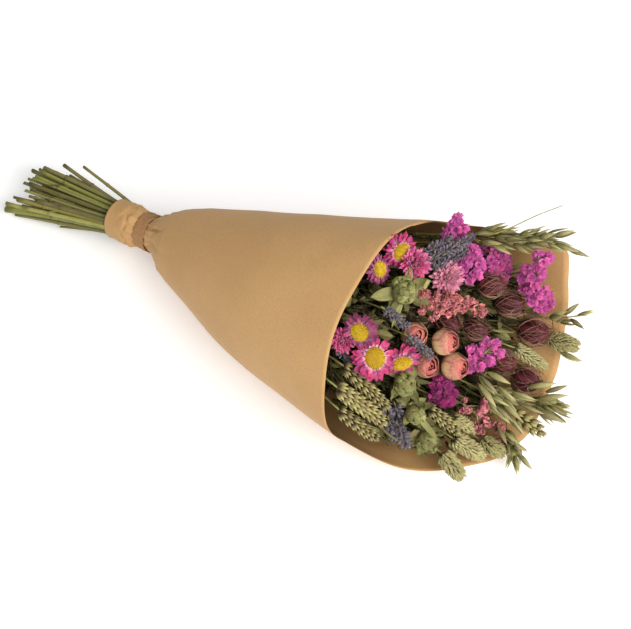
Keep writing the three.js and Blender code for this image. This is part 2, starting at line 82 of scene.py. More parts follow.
class Dice:
    """Seeded draws that match the part's source, so that the stems keep their places."""

    def __init__(self, seed: int) -> None:
        """Starts at a seed."""
        self.state = seed & 0xFFFFFFFF

    def __call__(self, low: float = 0.0, high: float = 1.0) -> float:
        """Draws an even value from low to high."""
        self.state = (self.state + 0x6D2B79F5) & 0xFFFFFFFF
        a = self.state
        t = ((a ^ (a >> 15)) * (1 | a)) & 0xFFFFFFFF
        t = ((t + (((t ^ (t >> 7)) * (61 | t)) & 0xFFFFFFFF)) & 0xFFFFFFFF) ^ t
        return low + (high - low) * ((t ^ (t >> 14)) & 0xFFFFFFFF) / 4294967296.0

    def way(self) -> Vector:
        """Draws a vector with each part from -1 to 1."""
        return Vector((self(-1, 1), self(-1, 1), self(-1, 1)))

    def stray(self, reach: float, up: float) -> Vector:
        """Draws a vector with its first two parts from -reach to reach, and its third given."""
        return Vector((self(-reach, reach), self(-reach, reach), up))


def clamp(x: float, low: float = 0.0, high: float = 1.0) -> float:
    """Holds a value between two limits."""
    return min(max(x, low), high)


def mix(a: float, b: float, t: float) -> float:
    """Goes from a to b as t goes from 0 to 1."""
    return a + (b - a) * t


def ease(t: float) -> float:
    """A soft step from 0 to 1."""
    t = clamp(t)
    return t * t * (3.0 - 2.0 * t)


def bell(x: float, middle: float, reach: float) -> float:
    """A smooth hump of height 1 round a middle."""
    return math.exp(-(((x - middle) / reach) ** 2))


def meets(clock: float, at: float, power: int) -> float:
    """How nearly one clock meets another, from 1 down to 0 a quarter turn away."""
    return max(0.0, math.cos(math.radians(clock - at))) ** power


def table(rows: Rows, x: float) -> float:
    """Reads a value between the rows of a table.

    Args:
        rows: places and values, in rising order.
        x: the place to read at.

    Returns:
        The value there, held level past either end.
    """
    if x <= rows[0][0]:
        return rows[0][1]
    for (x0, y0), (x1, y1) in zip(rows, rows[1:]):
        if x <= x1:
            return mix(y0, y1, (x - x0) / (x1 - x0))
    return rows[-1][1]


def softened(rows: Rows, x: float, reach: float) -> float:
    """Reads a table with its corners rounded over a reach."""
    return sum(table(rows, x + reach * k) for k in (-1.0, -0.5, 0.0, 0.5, 1.0)) / 5.0


def stand(at: Vector, along: Vector, turn: float = 0.0) -> Matrix:
    """A place at a point whose Z runs along a direction, turned about it."""
    return (Matrix.Translation(at) @ along.to_track_quat("Z", "Y").to_matrix().to_4x4()
            @ spin(turn))


def size(x: float, y: Optional[float] = None, z: Optional[float] = None) -> Matrix:
    """A scale, even where only x is given."""
    return Matrix.Diagonal((x, x if y is None else y, x if z is None else z, 1.0))


def spin(angle: float, axis: str = "Z") -> Matrix:
    """A turn about an axis, in radians."""
    return Matrix.Rotation(angle, 4, axis)


def shift(x: float, y: float, z: float) -> Matrix:
    """A move."""
    return Matrix.Translation((x, y, z))


def facing(at: Vector, along: Vector) -> Matrix:
    """A place whose Z runs along a direction and whose X leans toward the shown side."""
    z = along.normalized()
    y = z.cross(SHOWN).normalized()
    return Matrix.Translation(at) @ Matrix((y.cross(z), y, z)).transposed().to_4x4()


def set_out(at: Vector, along: Vector, out: Vector) -> Matrix:
    """A place whose Y runs along a direction and whose Z leans outward."""
    y = along.normalized()
    x = y.cross(out).normalized()
    return Matrix.Translation(at) @ Matrix((x, y, x.cross(y))).transposed().to_4x4()


def polar(angle: float, far: float = 1.0, up: float = 0.0) -> Vector:
    """A point at an angle round Z, so far out and so far up."""
    return Vector((math.cos(angle) * far, math.sin(angle) * far, up))


def axial(s: float, across: float, rise: float) -> Vector:
    """A point s past the tie along the cone's axis, so far across it and so far above it."""
    return TIE + AXIS * s + SIDE * across + LIFT * rise


def bent(bend: float, along: float, length: float, x: float, z: float = 0.0) -> Spot:
    """A point aside and above an evenly bent line that starts along +Y and turns toward +Z.

    Args:
        bend: the whole turn of the line, in radians.
        along: the point's share of the line.
        length: the line's length.
        x: how far aside the point is.
        z: how far above.

    Returns:
        The point.
    """
    turn = bend * along
    ahead, up = along, 0.0
    if abs(bend) > STRAIGHT:
        ahead, up = math.sin(turn) / bend, (1.0 - math.cos(turn)) / bend
    return x, ahead * length - z * math.sin(turn), up * length + z * math.cos(turn)


def bowed(points: Sequence[Vector], steps: int = 8) -> list[Vector]:
    """A smooth line through points, with bows between them."""
    line: list[Vector] = []
    for k in range(len(points) - 1):
        a, b = points[k], points[k + 1]
        before = points[k - 1] if k else a
        after = points[k + 2] if k + 2 < len(points) else b
        line += interpolate_bezier(a, a + (b - before) / 6.0, b - (after - a) / 6.0, b, steps)[:-1]
    return line + [points[-1].copy()]


def fresh() -> bmesh.types.BMesh:
    """An empty mesh with the layers that the finishes read."""
    bm = bmesh.new()
    for name in LAYERS:
        bm.verts.layers.float.new(name)
    return bm


def layers(bm: bmesh.types.BMesh) -> tuple:
    """The three layers of a mesh, in order."""
    return tuple(bm.verts.layers.float[name] for name in LAYERS)


def drawn(bm: bmesh.types.BMesh, edges: list) -> tuple[list, list]:
    """Extrudes a ring's edges and gives the new ring's points and edges."""
    made = bmesh.ops.extrude_edge_only(bm, edges=edges)["geom"]
    return ([g for g in made if isinstance(g, bmesh.types.BMVert)],
            [g for g in made if isinstance(g, bmesh.types.BMEdge)])


@dataclass(frozen=True)
class Blade:
    """A thin petal or leaf that grows along +Y from the origin and faces +Z."""

    length: float
    width: float
    root: float = 0.35
    widest: float = 0.6
    point: float = 0.6
    cup: float = 0.12
    bend: float = 0.0
    twist: float = 0.0
    wave: float = 0.0
    waves: float = 3.0
    notch: float = 0.0
    columns: int = 4
    rows: int = 6
    thick: float = 0.3
    finish: int = 0

    def half(self, along: float) -> float:
        """Half the width at a share of the length."""
        if along < self.widest:
            return mix(self.root, 1.0, ease(along / self.widest)) * self.width / 2
        past = (along - self.widest) / (1.0 - self.widest)
        return max(0.05, (1.0 - past * past) ** self.point) * self.width / 2

    def make(self) -> bmesh.types.BMesh:
        """Bends a grid into the blade and gives it its thickness."""
        bm = fresh()
        bmesh.ops.create_grid(bm, x_segments=self.columns, y_segments=self.rows, size=0.5)
        grow, side, _ = layers(bm)
        for v in bm.verts:
            across, along = 2.0 * v.co.x, v.co.y + 0.5
            v[grow], v[side] = along, across
            out = across * self.half(along)
            lift = self.cup * self.width * across * across
            lift += self.wave * self.width * math.sin(self.waves * TURN * along) * across
            x = out * math.cos(self.twist * along)
            z = lift + out * math.sin(self.twist * along)
            long = self.length * (1.0 - self.notch * (1.0 - abs(across)) * along ** 6)
            v.co = bent(self.bend, along, long, x, z)
        bmesh.ops.solidify(bm, geom=bm.faces[:], thickness=self.thick)
        return bm


@dataclass(frozen=True)
class Husk:
    """A closed boat-shaped scale, seed or grain that grows along +Y and swells toward +Z."""

    length: float
    width: float
    deep: float
    widest: float = 0.45
    point: float = 0.8
    keel: float = 0.0
    under: float = 0.35
    bend: float = 0.0
    sides: int = 8
    rows: int = 6
    finish: int = 0

    def half(self, along: float) -> float:
        """The share of the full width at a share of the length."""
        t = along / self.widest if along < self.widest else (1 - along) / (1 - self.widest)
        return math.sin(clamp(t) * QUARTER) ** (0.6 if along < self.widest else self.point)

    def make(self) -> bmesh.types.BMesh:
        """Draws a ball out into the husk."""
        bm = fresh()
        bmesh.ops.create_uvsphere(bm, u_segments=self.sides, v_segments=self.rows, radius=1.0)
        bmesh.ops.transform(bm, matrix=spin(-QUARTER, "X"), verts=bm.verts[:])
        grow, side, _ = layers(bm)
        for v in bm.verts:
            along = clamp((v.co.y + 1.0) / 2.0)
            ring = math.sqrt(max(1e-9, 1.0 - v.co.y ** 2))
            across, high = v.co.x / ring, v.co.z / ring
            near_pole = ring < 0.01
            wide = 0.0 if near_pole else self.half(along)
            v[grow], v[side] = along, 0.0 if near_pole else across
            crest = 1.0 + self.keel * (1.0 - abs(across)) if high > 0 else self.under
            x, z = across * wide * self.width / 2, high * wide * self.deep * crest
            v.co = bent(self.bend, along, self.length, x, z)
        bmesh.ops.recalc_face_normals(bm, faces=bm.faces[:])
        return bm


@dataclass(frozen=True)
class Cup:
    """A small papery floret: a tube that flares to a ruffled, lobed rim. It grows along +Z."""

    length: float
    mouth: float
    lobes: int = 5
    notch: float = 0.25
    ruffle: float = 0.16
    tube: float = 0.16
    sides: int = 10
    thick: float = 0.2
    finish: int = 0

    def make(self) -> bmesh.types.BMesh:
        """Extrudes a ring outwards into the flared cup and gives it its thickness."""
        bm = fresh()
        grow, side, _ = layers(bm)
        bmesh.ops.create_circle(bm, cap_ends=True, segments=self.sides, radius=self.mouth * self.tube * 0.5)
        edges = bm.edges[:]
        for share, radius in ((0.62, 0.42), (1.0, 1.0)):
            ring, edges = drawn(bm, edges)
            for v in ring:
                angle = math.atan2(v.co.y, v.co.x)
                lobe = math.cos(angle * self.lobes)
                far = self.mouth / 2 * radius * (1.0 + (self.notch * lobe if share == 1.0 else 0.0))
                frill = self.ruffle * self.mouth * math.sin(angle * (self.lobes - 1) + 1.0) * ease(share)
                v.co = polar(angle, far, self.length * share + frill)
                v[grow], v[side] = share, lobe
        bmesh.ops.solidify(bm, geom=bm.faces[:], thickness=self.thick)
        bmesh.ops.recalc_face_normals(bm, faces=bm.faces[:])
        return bm


@dataclass(frozen=True)
class Thread:
    """A thin hooked thread that grows along +Y and bows toward +Z."""

    length: float
    radius: float
    bend: float = 0.8
    sway: float = 0.0
    steps: int = 5
    sides: int = 3
    finish: int = 0

    def make(self) -> bmesh.types.BMesh:
        """Sweeps a small ring along the bow."""
        points, radii = [], []
        for k in range(self.steps + 1):
            t = k / self.steps
            aside = self.sway * self.length * math.sin(TURN * t * 0.7)
            points.append(Vector(bent(self.bend, t, self.length, aside)))
            radii.append(self.radius * (1.0 - 0.6 * t))
        return sweep(points, radii, self.sides)


def sweep(points: Sequence[Vector], radii: Sequence[float], sides: int,
          slant: float = 0.0, hollow: float = 0.0) -> bmesh.types.BMesh:
    """Draws a ring along a line, closed at both ends.

    Args:
        points: the middle line.
        radii: the radius at each point.
        sides: how many sides the ring has.
        slant: how far the first cut leans, in radians.
        hollow: how deep the first end is hollow, in millimetres, or 0 for a plain end.

    Returns:
        The closed mesh, with its grow layer running from the first point to the last.
    """
    bm = fresh()
    grow, side, _ = layers(bm)
    along = (points[1] - points[0]).normalized()
    turn = along.to_track_quat("Z", "Y")
    at = Matrix.Translation(points[0]) @ turn.to_matrix().to_4x4()
    lean = spin(slant, "X")
    last = at @ size(radii[0])
    bmesh.ops.create_circle(bm, cap_ends=True, segments=sides, radius=1.0, matrix=last)
    start = bm.faces[:]
    ring, edges = bm.verts[:], bm.edges[:]
    first = ring[:]
    for i, v in enumerate(ring):
        v[side] = math.cos(TURN * i / sides)
    for k in range(1, len(points)):
        before, after = points[k - 1], points[min(k + 1, len(points) - 1)]
        ahead = (after - before).normalized()
        turn = along.rotation_difference(ahead) @ turn
        along = ahead
        place = Matrix.Translation(points[k]) @ turn.to_matrix().to_4x4() @ size(radii[k])
        ring, edges = drawn(bm, edges)
        bmesh.ops.transform(bm, matrix=place @ last.inverted(), verts=ring)
        for v in ring:
            v[grow] = k / (len(points) - 1)
        last = place
    bmesh.ops.holes_fill(bm, edges=[e for e in bm.edges if e.is_boundary], sides=0)
    if hollow:
        bmesh.ops.inset_region(bm, faces=start, thickness=radii[0] * 0.3)
        deep = (points[1] - points[0]).normalized() * hollow
        bmesh.ops.translate(bm, vec=deep, verts=start[0].verts[:])
        first += [v for v in start[0].verts if v not in first]
    if slant:
        bmesh.ops.transform(bm, matrix=at @ lean @ at.inverted(), verts=first)
    bmesh.ops.recalc_face_normals(bm, faces=bm.faces[:])
    return bm


Form = Blade | Husk | Cup | Thread


class Shape:
    """A small mesh that is copied many times, with its points kept as first made."""

    stock: ClassVar[dict] = {}

    def __init__(self, bm: bmesh.types.BMesh, finish: int = 0) -> None:
        """Takes the mesh over."""
        for f in bm.faces:
            f.material_index, f.smooth = finish, True
        self.mesh = bpy.data.meshes.new("shape")
        bm.to_mesh(self.mesh)
        bm.free()
        self.rest = array("f", [0.0]) * (3 * len(self.mesh.vertices))
        self.mesh.vertices.foreach_get("co", self.rest)

    @classmethod
    def of(cls, form: Form) -> "Shape":
        """Makes a form once and keeps it."""
        if form not in cls.stock:
            cls.stock[form] = cls(form.make(), form.finish)
        return cls.stock[form]


class Bunch:
    """Shapes gathered into one piece, in millimetres."""

    def __init__(self) -> None:
        """Starts empty."""
        self.bm = fresh()

    def put(self, shape: Shape, place: Matrix, lot: float) -> None:
        """Adds a copy of a shape at a place, with its own lot number for colour."""
        mesh = shape.mesh
        mesh.transform(place)
        mesh.attributes["lot"].data.foreach_set("value", array("f", [lot]) * len(mesh.vertices))
        self.bm.from_mesh(mesh)
        mesh.vertices.foreach_set("co", shape.rest)

    def place(self, form: Form, place: Matrix, lot: float = 0.5) -> None:
        """Adds a copy of a form from the stock."""
        self.put(Shape.of(form), place, lot)

    def add(self, bm: bmesh.types.BMesh, lot: float = 0.5, finish: int = 0) -> None:
        """Adds a mesh that is used once."""
        shape = Shape(bm, finish)
        self.put(shape, Matrix.Identity(4), lot)
        bpy.data.meshes.remove(shape.mesh)

    def thread(self, points: Sequence[Vector], radii: Sequence[float], sides: int = 6,
               lot: float = 0.5, finish: int = 0) -> None:
        """Adds a round stick along a line."""
        self.add(sweep(points, radii, sides), lot, finish)

    def whorl(self, centre: Matrix, form: Form, count: int, radius: float, rise: float, tilt: float,
              dice: Dice, turn: float = 0.0, spread: float = 0.12, scale: float = 1.0) -> None:
        """Sets copies of a form in a ring round a centre's Z.

        Args:
            centre: the ring's place.
            form: what is set.
            count: how many.
            radius: how far their roots are from the centre.
            rise: how high their roots are.
            tilt: how far they lift from flat, in radians.
            dice: the seeded draws.
            turn: where the first one is.
            spread: how far each strays from its place, in radians.
            scale: their size.
        """
        for i in range(count):
            angle = turn + TURN * i / count + dice(-spread, spread)
            grown = scale * dice(0.9, 1.08)
            lift = tilt + dice(-spread, spread)
            at = centre @ spin(angle) @ shift(0, radius, rise) @ spin(lift, "X")
            at = at @ spin(dice(-spread, spread), "Y") @ size(grown * dice(0.92, 1.08), grown, 1.0)
            self.place(form, at, dice())

    def finish(self, name: str, slot: str, finishes: Sequence["Finish"], nodes: Iterable[str] = ()) -> None:
        """Turns the bunch into a piece of the object.

        Args:
            name: the piece's name.
            slot: the record's material slot; not used.
            finishes: the materials, in the order of the shapes' finish numbers.
            nodes: the CAD nodes that it stands for.
        """
        mesh = bpy.data.meshes.new(name)
        self.bm.to_mesh(mesh)
        self.bm.free()
        mesh.transform(Matrix.Scale(MM, 4))
        for finish in finishes:
            mesh.materials.append(finish.material())
        piece = bpy.data.objects.new(name, mesh)
        bpy.context.scene.collection.objects.link(piece)
        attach(piece, BODY)
        names = list(nodes)
        if names:
            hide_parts(*names)
        LOG.info("%s: %d faces", name, len(mesh.polygons))


# Finishes

def rgba(colour: Rgb) -> tuple[float, float, float, float]:
    """Turns a display colour of 0 to 255 into what a socket takes."""
    return (*Color([c / 255.0 for c in colour]).from_srgb_to_scene_linear(), 1.0)


class Wiring:
    """Adds nodes to a tree and joins them."""

    def __init__(self, tree: bpy.types.NodeTree) -> None:
        """Works on one tree."""
        self.tree = tree

    def node(self, kind: str, **settings: object) -> bpy.types.Node:
        """Adds a node and sets its options."""
        made = self.tree.nodes.new(kind)
        for key, value in settings.items():
            setattr(made, key, value)
        return made

    def feed(self, socket: bpy.types.NodeSocket, source: object) -> None:
        """Joins a socket to another, or sets its value."""
        if isinstance(source, bpy.types.NodeSocket):
            self.tree.links.new(source, socket)
        else:
            socket.default_value = source

    def math(self, operation: str, a: object, b: object = 0.0, clamped: bool = False) -> bpy.types.NodeSocket:
        """Works out one sum."""
        made = self.node("ShaderNodeMath", operation=operation, use_clamp=clamped)
        self.feed(made.inputs[0], a)
        self.feed(made.inputs[1], b)
        return made.outputs[0]

    def ramp(self, value: object, low: object, high: object, start: float = 0.0,
             end: float = 1.0) -> bpy.types.NodeSocket:
        """Maps a range softly onto another."""
        made = self.node("ShaderNodeMapRange", interpolation_type="SMOOTHSTEP")
        for name, source in (("Value", value), ("From Min", low), ("From Max", high),
                             ("To Min", start), ("To Max", end)):
            self.feed(made.inputs[name], source)
        return made.outputs[0]

    def blend(self, share: object, a: object, b: object, kind: str = "MIX") -> bpy.types.NodeSocket:
        """Mixes two colours."""
        made = self.node("ShaderNodeMix", data_type="RGBA", blend_type=kind)
        self.feed(made.inputs[0], share)
        self.feed(made.inputs[6], a)
        self.feed(made.inputs[7], b)
        return made.outputs[2]

    def noise(self, place: object, scale: object, detail: float = 3.0,
              rough: float = 0.55) -> bpy.types.NodeSocket:
        """A noise value over the surface."""
        made = self.node("ShaderNodeTexNoise")
        self.feed(made.inputs["Vector"], place)
        self.feed(made.inputs["Scale"], scale)
        made.inputs["Detail"].default_value = detail
        made.inputs["Roughness"].default_value = rough
        return made.outputs["Fac"]

    def stretched(self, place: object, scale: tuple[float, float, float],
                  turn: tuple[float, float, float] = (0.0, 0.0, 0.0)) -> bpy.types.NodeSocket:
        """Turns and stretches the coordinates."""
        made = self.node("ShaderNodeMapping")
        self.feed(made.inputs["Vector"], place)
        made.inputs["Scale"].default_value = scale
        made.inputs["Rotation"].default_value = turn
        return made.outputs[0]


GroupParts = tuple[bpy.types.NodeTree, Wiring, bpy.types.Node, bpy.types.Node]


class Effects:
    """Node groups that more than one finish uses, each built once."""

    @staticmethod
    def group(name: str, inputs: dict[str, str], outputs: dict[str, str]) -> GroupParts:
        """Starts a node group with named sockets."""
        tree = bpy.data.node_groups.new(name, "ShaderNodeTree")
        for side, sockets in (("INPUT", inputs), ("OUTPUT", outputs)):
            for label, kind in sockets.items():
                tree.interface.new_socket(name=label, in_out=side, socket_type=f"NodeSocket{kind}")
        wiring = Wiring(tree)
        return tree, wiring, wiring.node("NodeGroupInput"), wiring.node("NodeGroupOutput")

    @classmethod
    @cache
    def plant_tone(cls) -> bpy.types.NodeTree:
        """Colour from root to tip, with dry patches, nerves and a shade for each lot."""
        tree, w, given, out = cls.group(
            "plant_tone",
            {"Place": "Vector", "Grow": "Float", "Side": "Float", "Lot": "Float", "Root": "Color",
             "Tip": "Color", "Dry": "Color", "Start": "Float", "End": "Float", "Spread": "Float",
             "Dryness": "Float", "Nerves": "Float", "Count": "Float", "Grain": "Float"},
            {"Colour": "Color", "Height": "Float"})
        g = given.outputs
        wander = w.math("MULTIPLY", w.math("SUBTRACT", w.noise(g["Place"], 260.0), 0.5), 0.35)
        tone = w.blend(w.ramp(w.math("ADD", g["Grow"], wander), g["Start"], g["End"]), g["Root"], g["Tip"])
        patch = w.ramp(w.noise(g["Place"], g["Grain"]), 0.45, 0.68)
        tone = w.blend(w.math("MULTIPLY", patch, g["Dryness"]), tone, g["Dry"])
        wave = w.math("SINE", w.math("MULTIPLY", w.math("MULTIPLY", g["Side"], g["Count"]), math.pi))
        lines = w.math("MULTIPLY", w.math("ADD", w.math("MULTIPLY", wave, 0.5), 0.5), g["Nerves"])
        shade = w.math("MULTIPLY", w.math("SUBTRACT", g["Lot"], 0.5), g["Spread"])
        fine = w.noise(g["Place"], 900.0, 2.0)
        value = w.math("MULTIPLY", w.math("ADD", 1.0, shade), w.math("SUBTRACT", 1.0, lines))
        value = w.math("MULTIPLY", value, w.ramp(fine, 0.2, 0.8, 0.86, 1.12))
        tint = w.node("ShaderNodeHueSaturation")
        w.feed(tint.inputs["Hue"], w.math("ADD", 0.5, w.math("MULTIPLY", shade, 0.06)))
        w.feed(tint.inputs["Value"], value)
        w.feed(tint.inputs["Color"], tone)
        w.feed(out.inputs["Colour"], tint.outputs[0])
        w.feed(out.inputs["Height"], w.math("SUBTRACT", w.math("MULTIPLY", fine, 0.6), lines))
        return tree

    @classmethod
    @cache
    def paper_fibre(cls) -> bpy.types.NodeTree:
        """Brown paper: soft cloudiness, long fibres and small flecks."""
        tree, w, given, out = cls.group(
            "paper_fibre", {"Place": "Vector", "Base": "Color", "Dark": "Color", "Flecks": "Float"},
            {"Colour": "Color", "Height": "Float"})
        g = given.outputs
        cloud = w.ramp(w.noise(g["Place"], 9.0), 0.3, 0.7, 0.0, 0.35)
        fibres = w.noise(w.stretched(g["Place"], (1.0, 7.0, 7.0), (0.0, RISE, 0.0)), 190.0, 4.0, 0.7)
        cross = w.noise(w.stretched(g["Place"], (6.0, 1.0, 6.0), (0.3, 0.5, 0.2)), 160.0, 4.0, 0.7)
        tangle = w.math("MULTIPLY", w.math("ADD", fibres, cross), 0.5)
        tone = w.blend(cloud, g["Base"], g["Dark"])
        tone = w.blend(w.ramp(tangle, 0.42, 0.62, 0.0, 0.4), tone, g["Dark"])
        fleck = w.ramp(w.noise(g["Place"], 620.0, 1.0), 0.66, 0.74)
        tone = w.blend(w.math("MULTIPLY", fleck, g["Flecks"]), tone, g["Dark"])
        w.feed(out.inputs["Colour"], tone)
        w.feed(out.inputs["Height"], tangle)
        return tree


@dataclass(frozen=True)
class Finish:
    """What every finish has: a name, a roughness, the depth of its relief in millimetres and its fuzz."""

    name: str
    roughness: float = 0.7
    relief: float = 0.15
    sheen: float = 0.0
    specular: ClassVar[float] = 0.3
    strength: ClassVar[float] = 0.8

    @cache
    def material(self) -> bpy.types.Material:
        """The material, built the first time it is asked for."""
        made = bpy.data.materials.new(self.name)
        made.use_nodes = True
        w = Wiring(made.node_tree)
        shader = made.node_tree.nodes["Principled BSDF"]
        for label, value in (("Roughness", self.roughness), ("Specular IOR Level", self.specular),
                             ("Sheen Weight", self.sheen)):
            shader.inputs[label].default_value = value
        colour, height = self.tones(w)
        w.feed(shader.inputs["Base Color"], colour)
        bump = w.node("ShaderNodeBump")
        bump.inputs["Distance"].default_value = self.relief * MM
        bump.inputs["Strength"].default_value = self.strength
        w.feed(bump.inputs["Height"], height)
        w.feed(shader.inputs["Normal"], bump.outputs[0])
        return made

    def tones(self, w: Wiring) -> tuple[bpy.types.NodeSocket, bpy.types.NodeSocket]:
        """The colour and height sockets."""
        raise NotImplementedError


@dataclass(frozen=True)
class PlantFinish(Finish):
    """A dried petal, leaf, husk or stem."""

    root: Rgb = (200, 200, 150)
    tip: Rgb = (160, 160, 100)
    dry: Rgb = (150, 130, 90)
    start: float = 0.1
    end: float = 0.7
    spread: float = 0.45
    dryness: float = 0.4
    nerves: float = 0.15
    count: float = 5.0
    grain: float = 110.0

    def tones(self, w: Wiring) -> tuple[bpy.types.NodeSocket, bpy.types.NodeSocket]:
        """Feeds the piece's own layers to the plant tone."""
        group = w.node("ShaderNodeGroup", node_tree=Effects.plant_tone())
        w.feed(group.inputs["Place"], w.node("ShaderNodeTexCoord").outputs["Object"])
        for name in LAYERS:
            layer = w.node("ShaderNodeAttribute", attribute_name=name)
            w.feed(group.inputs[name.title()], layer.outputs["Fac"])
        for label, value in (("Root", rgba(self.root)), ("Tip", rgba(self.tip)), ("Dry", rgba(self.dry)),
                             ("Start", self.start), ("End", self.end), ("Spread", self.spread),
                             ("Dryness", self.dryness), ("Nerves", self.nerves), ("Count", self.count),
                             ("Grain", self.grain)):
            group.inputs[label].default_value = value
        return group.outputs["Colour"], group.outputs["Height"]


@dataclass(frozen=True)
class PaperFinish(Finish):
    """Brown wrapping paper, crumpled near the neck."""

    base: Rgb = (205, 163, 112)
    dark: Rgb = (176, 134, 86)
    flecks: float = 0.5
    crumple: float = 1.0

    def tones(self, w: Wiring) -> tuple[bpy.types.NodeSocket, bpy.types.NodeSocket]:
        """Adds the neck's fine creases to the paper fibre."""
        place = w.node("ShaderNodeTexCoord").outputs["Object"]
        group = w.node("ShaderNodeGroup", node_tree=Effects.paper_fibre())
        w.feed(group.inputs["Place"], place)
        for label, value in (("Base", rgba(self.base)), ("Dark", rgba(self.dark)), ("Flecks", self.flecks)):
            group.inputs[label].default_value = value
        near = w.node("ShaderNodeVectorMath", operation="DISTANCE")
        w.feed(near.inputs[0], place)
        near.inputs[1].default_value = TIE * MM
        closeness = w.ramp(near.outputs["Value"], 0.03, 0.11, self.crumple, 0.0)
        ridges = w.math("ABSOLUTE", w.math("SUBTRACT", w.noise(place, 55.0, 2.0), 0.5))
        folds = w.math("MULTIPLY", w.math("MULTIPLY", ridges, closeness), 14.0)
        return group.outputs["Colour"], w.math("ADD", group.outputs["Height"], folds)


KRAFT = PaperFinish("kraft_paper", 0.62, 0.12, base=(203, 161, 108), dark=(170, 129, 80))
TIE_PAPER = PaperFinish("tie_paper", 0.6, 0.2, base=(176, 133, 88), dark=(142, 101, 63), crumple=0.6)
PINK = PlantFinish("pink_petal", 0.6, 0.1, root=(230, 176, 200), tip=(194, 58, 118), dry=(152, 56, 98),
                   start=0.2, end=0.7, spread=0.45, dryness=0.3, nerves=0.22, count=6, sheen=0.2)
HOT_PINK = PlantFinish("deep_pink_petal", 0.6, 0.1, root=(200, 60, 116), tip=(230, 110, 166),
                       dry=(240, 160, 198), start=0.3, end=1.0, dryness=0.45, nerves=0.2, count=6,
                       sheen=0.2)
# A darker, purpler copy of the pink petals for daisies that sit in shade: partly their own tone, partly
# painted shade.
DUSKY = PlantFinish("shaded_dusky_petal", 0.6, 0.1, root=(200, 132, 162), tip=(160, 62, 110), dry=(108, 42, 74),
                    start=0.2, end=0.8, spread=0.5, dryness=0.4, nerves=0.26, count=6, sheen=0.2)
PALE_PINK = PlantFinish("pale_pink_petal", 0.6, 0.1, root=(150, 84, 86), tip=(234, 158, 182),
                        dry=(204, 112, 144), start=0.0, end=0.45, dryness=0.4, nerves=0.24, count=6,
                        sheen=0.2)
YELLOW = PlantFinish("yellow_disc", 0.75, 0.2, root=(160, 114, 20), tip=(206, 174, 36), dry=(160, 120, 28),
                     start=0.0, end=0.6, dryness=0.3, nerves=0.0, spread=0.35)
CALYX = PlantFinish("calyx", 0.75, 0.1, root=(132, 124, 78), tip=(150, 128, 88), dry=(112, 88, 60))
PEACH = PlantFinish("rose_petal", 0.6, 0.12, root=(218, 188, 138), tip=(190, 122, 106), dry=(188, 108, 102),
                    start=0.4, end=1.02, dryness=0.35, nerves=0.12, count=7, grain=60, spread=0.25)
ROSE_EDGE = PlantFinish("rose_petal_edge", 0.6, 0.12, root=(222, 178, 138), tip=(188, 98, 92),
                        dry=(196, 118, 106), start=0.4, end=0.98, dryness=0.4, nerves=0.12, count=7,
                        grain=60, spread=0.25)
# Pod skin: darker in the sunken seams and lighter on the crests, painted shade and painted highlight over the
# pod's own maroon.
MAROON = PlantFinish("pod_skin", 0.5, 0.2, root=(46, 16, 22), tip=(98, 40, 48), dry=(58, 22, 30),
                     start=0.2, end=0.95, dryness=0.5, nerves=0.0, spread=0.4)
SEAM = PlantFinish("pod_seam", 0.6, 0.1, root=(104, 60, 54), tip=(122, 74, 66), dry=(92, 48, 46))
BRACT = PlantFinish("pod_thread", 0.7, 0.05, root=(84, 74, 46), tip=(154, 114, 96), dry=(102, 72, 60),
                    start=0.1, end=0.6, spread=0.8, dryness=0.5, nerves=0.0)
GREEN = PlantFinish("green_leaf", 0.7, 0.15, root=(182, 174, 120), tip=(130, 130, 76), dry=(172, 156, 104),
                    start=0.0, end=0.8, spread=0.6, dryness=0.5, nerves=0.22, count=6)
# Lavender calyces darken toward their bases: partly their own tone, partly painted shade between the rings.
LAVENDER = PlantFinish("lavender_calyx", 0.8, 0.1, root=(70, 60, 56), tip=(115, 105, 116), dry=(56, 48, 54),
                       start=0.0, end=0.8, spread=0.8, dryness=0.5, nerves=0.3, count=3, sheen=0.3)
VIOLET = PlantFinish("lavender_petal", 0.8, 0.05, root=(84, 70, 96), tip=(100, 82, 116), dry=(66, 52, 72))
LILAC = PlantFinish("statice_petal", 0.65, 0.1, root=(206, 104, 164), tip=(208, 94, 166), dry=(158, 60, 118),
                    start=0.2, end=0.8, spread=0.55, dryness=0.4, nerves=0.16, count=4, sheen=0.2)
MAGENTA = PlantFinish("deep_statice_petal", 0.65, 0.1, root=(142, 38, 98), tip=(150, 38, 108),
                      dry=(102, 22, 72), start=0.2, end=0.8, spread=0.5, dryness=0.4, nerves=0.16,
                      count=4, sheen=0.2)
# Coral petals go deep red at their bases: partly the florets' own colour, partly painted shade between the
# crumpled petals.
CORAL = PlantFinish("coral_petal", 0.65, 0.1, root=(112, 26, 44), tip=(234, 140, 142), dry=(178, 82, 86),
                    start=0.25, end=0.98, spread=0.6, dryness=0.3, nerves=0.1, count=5, sheen=0.15)
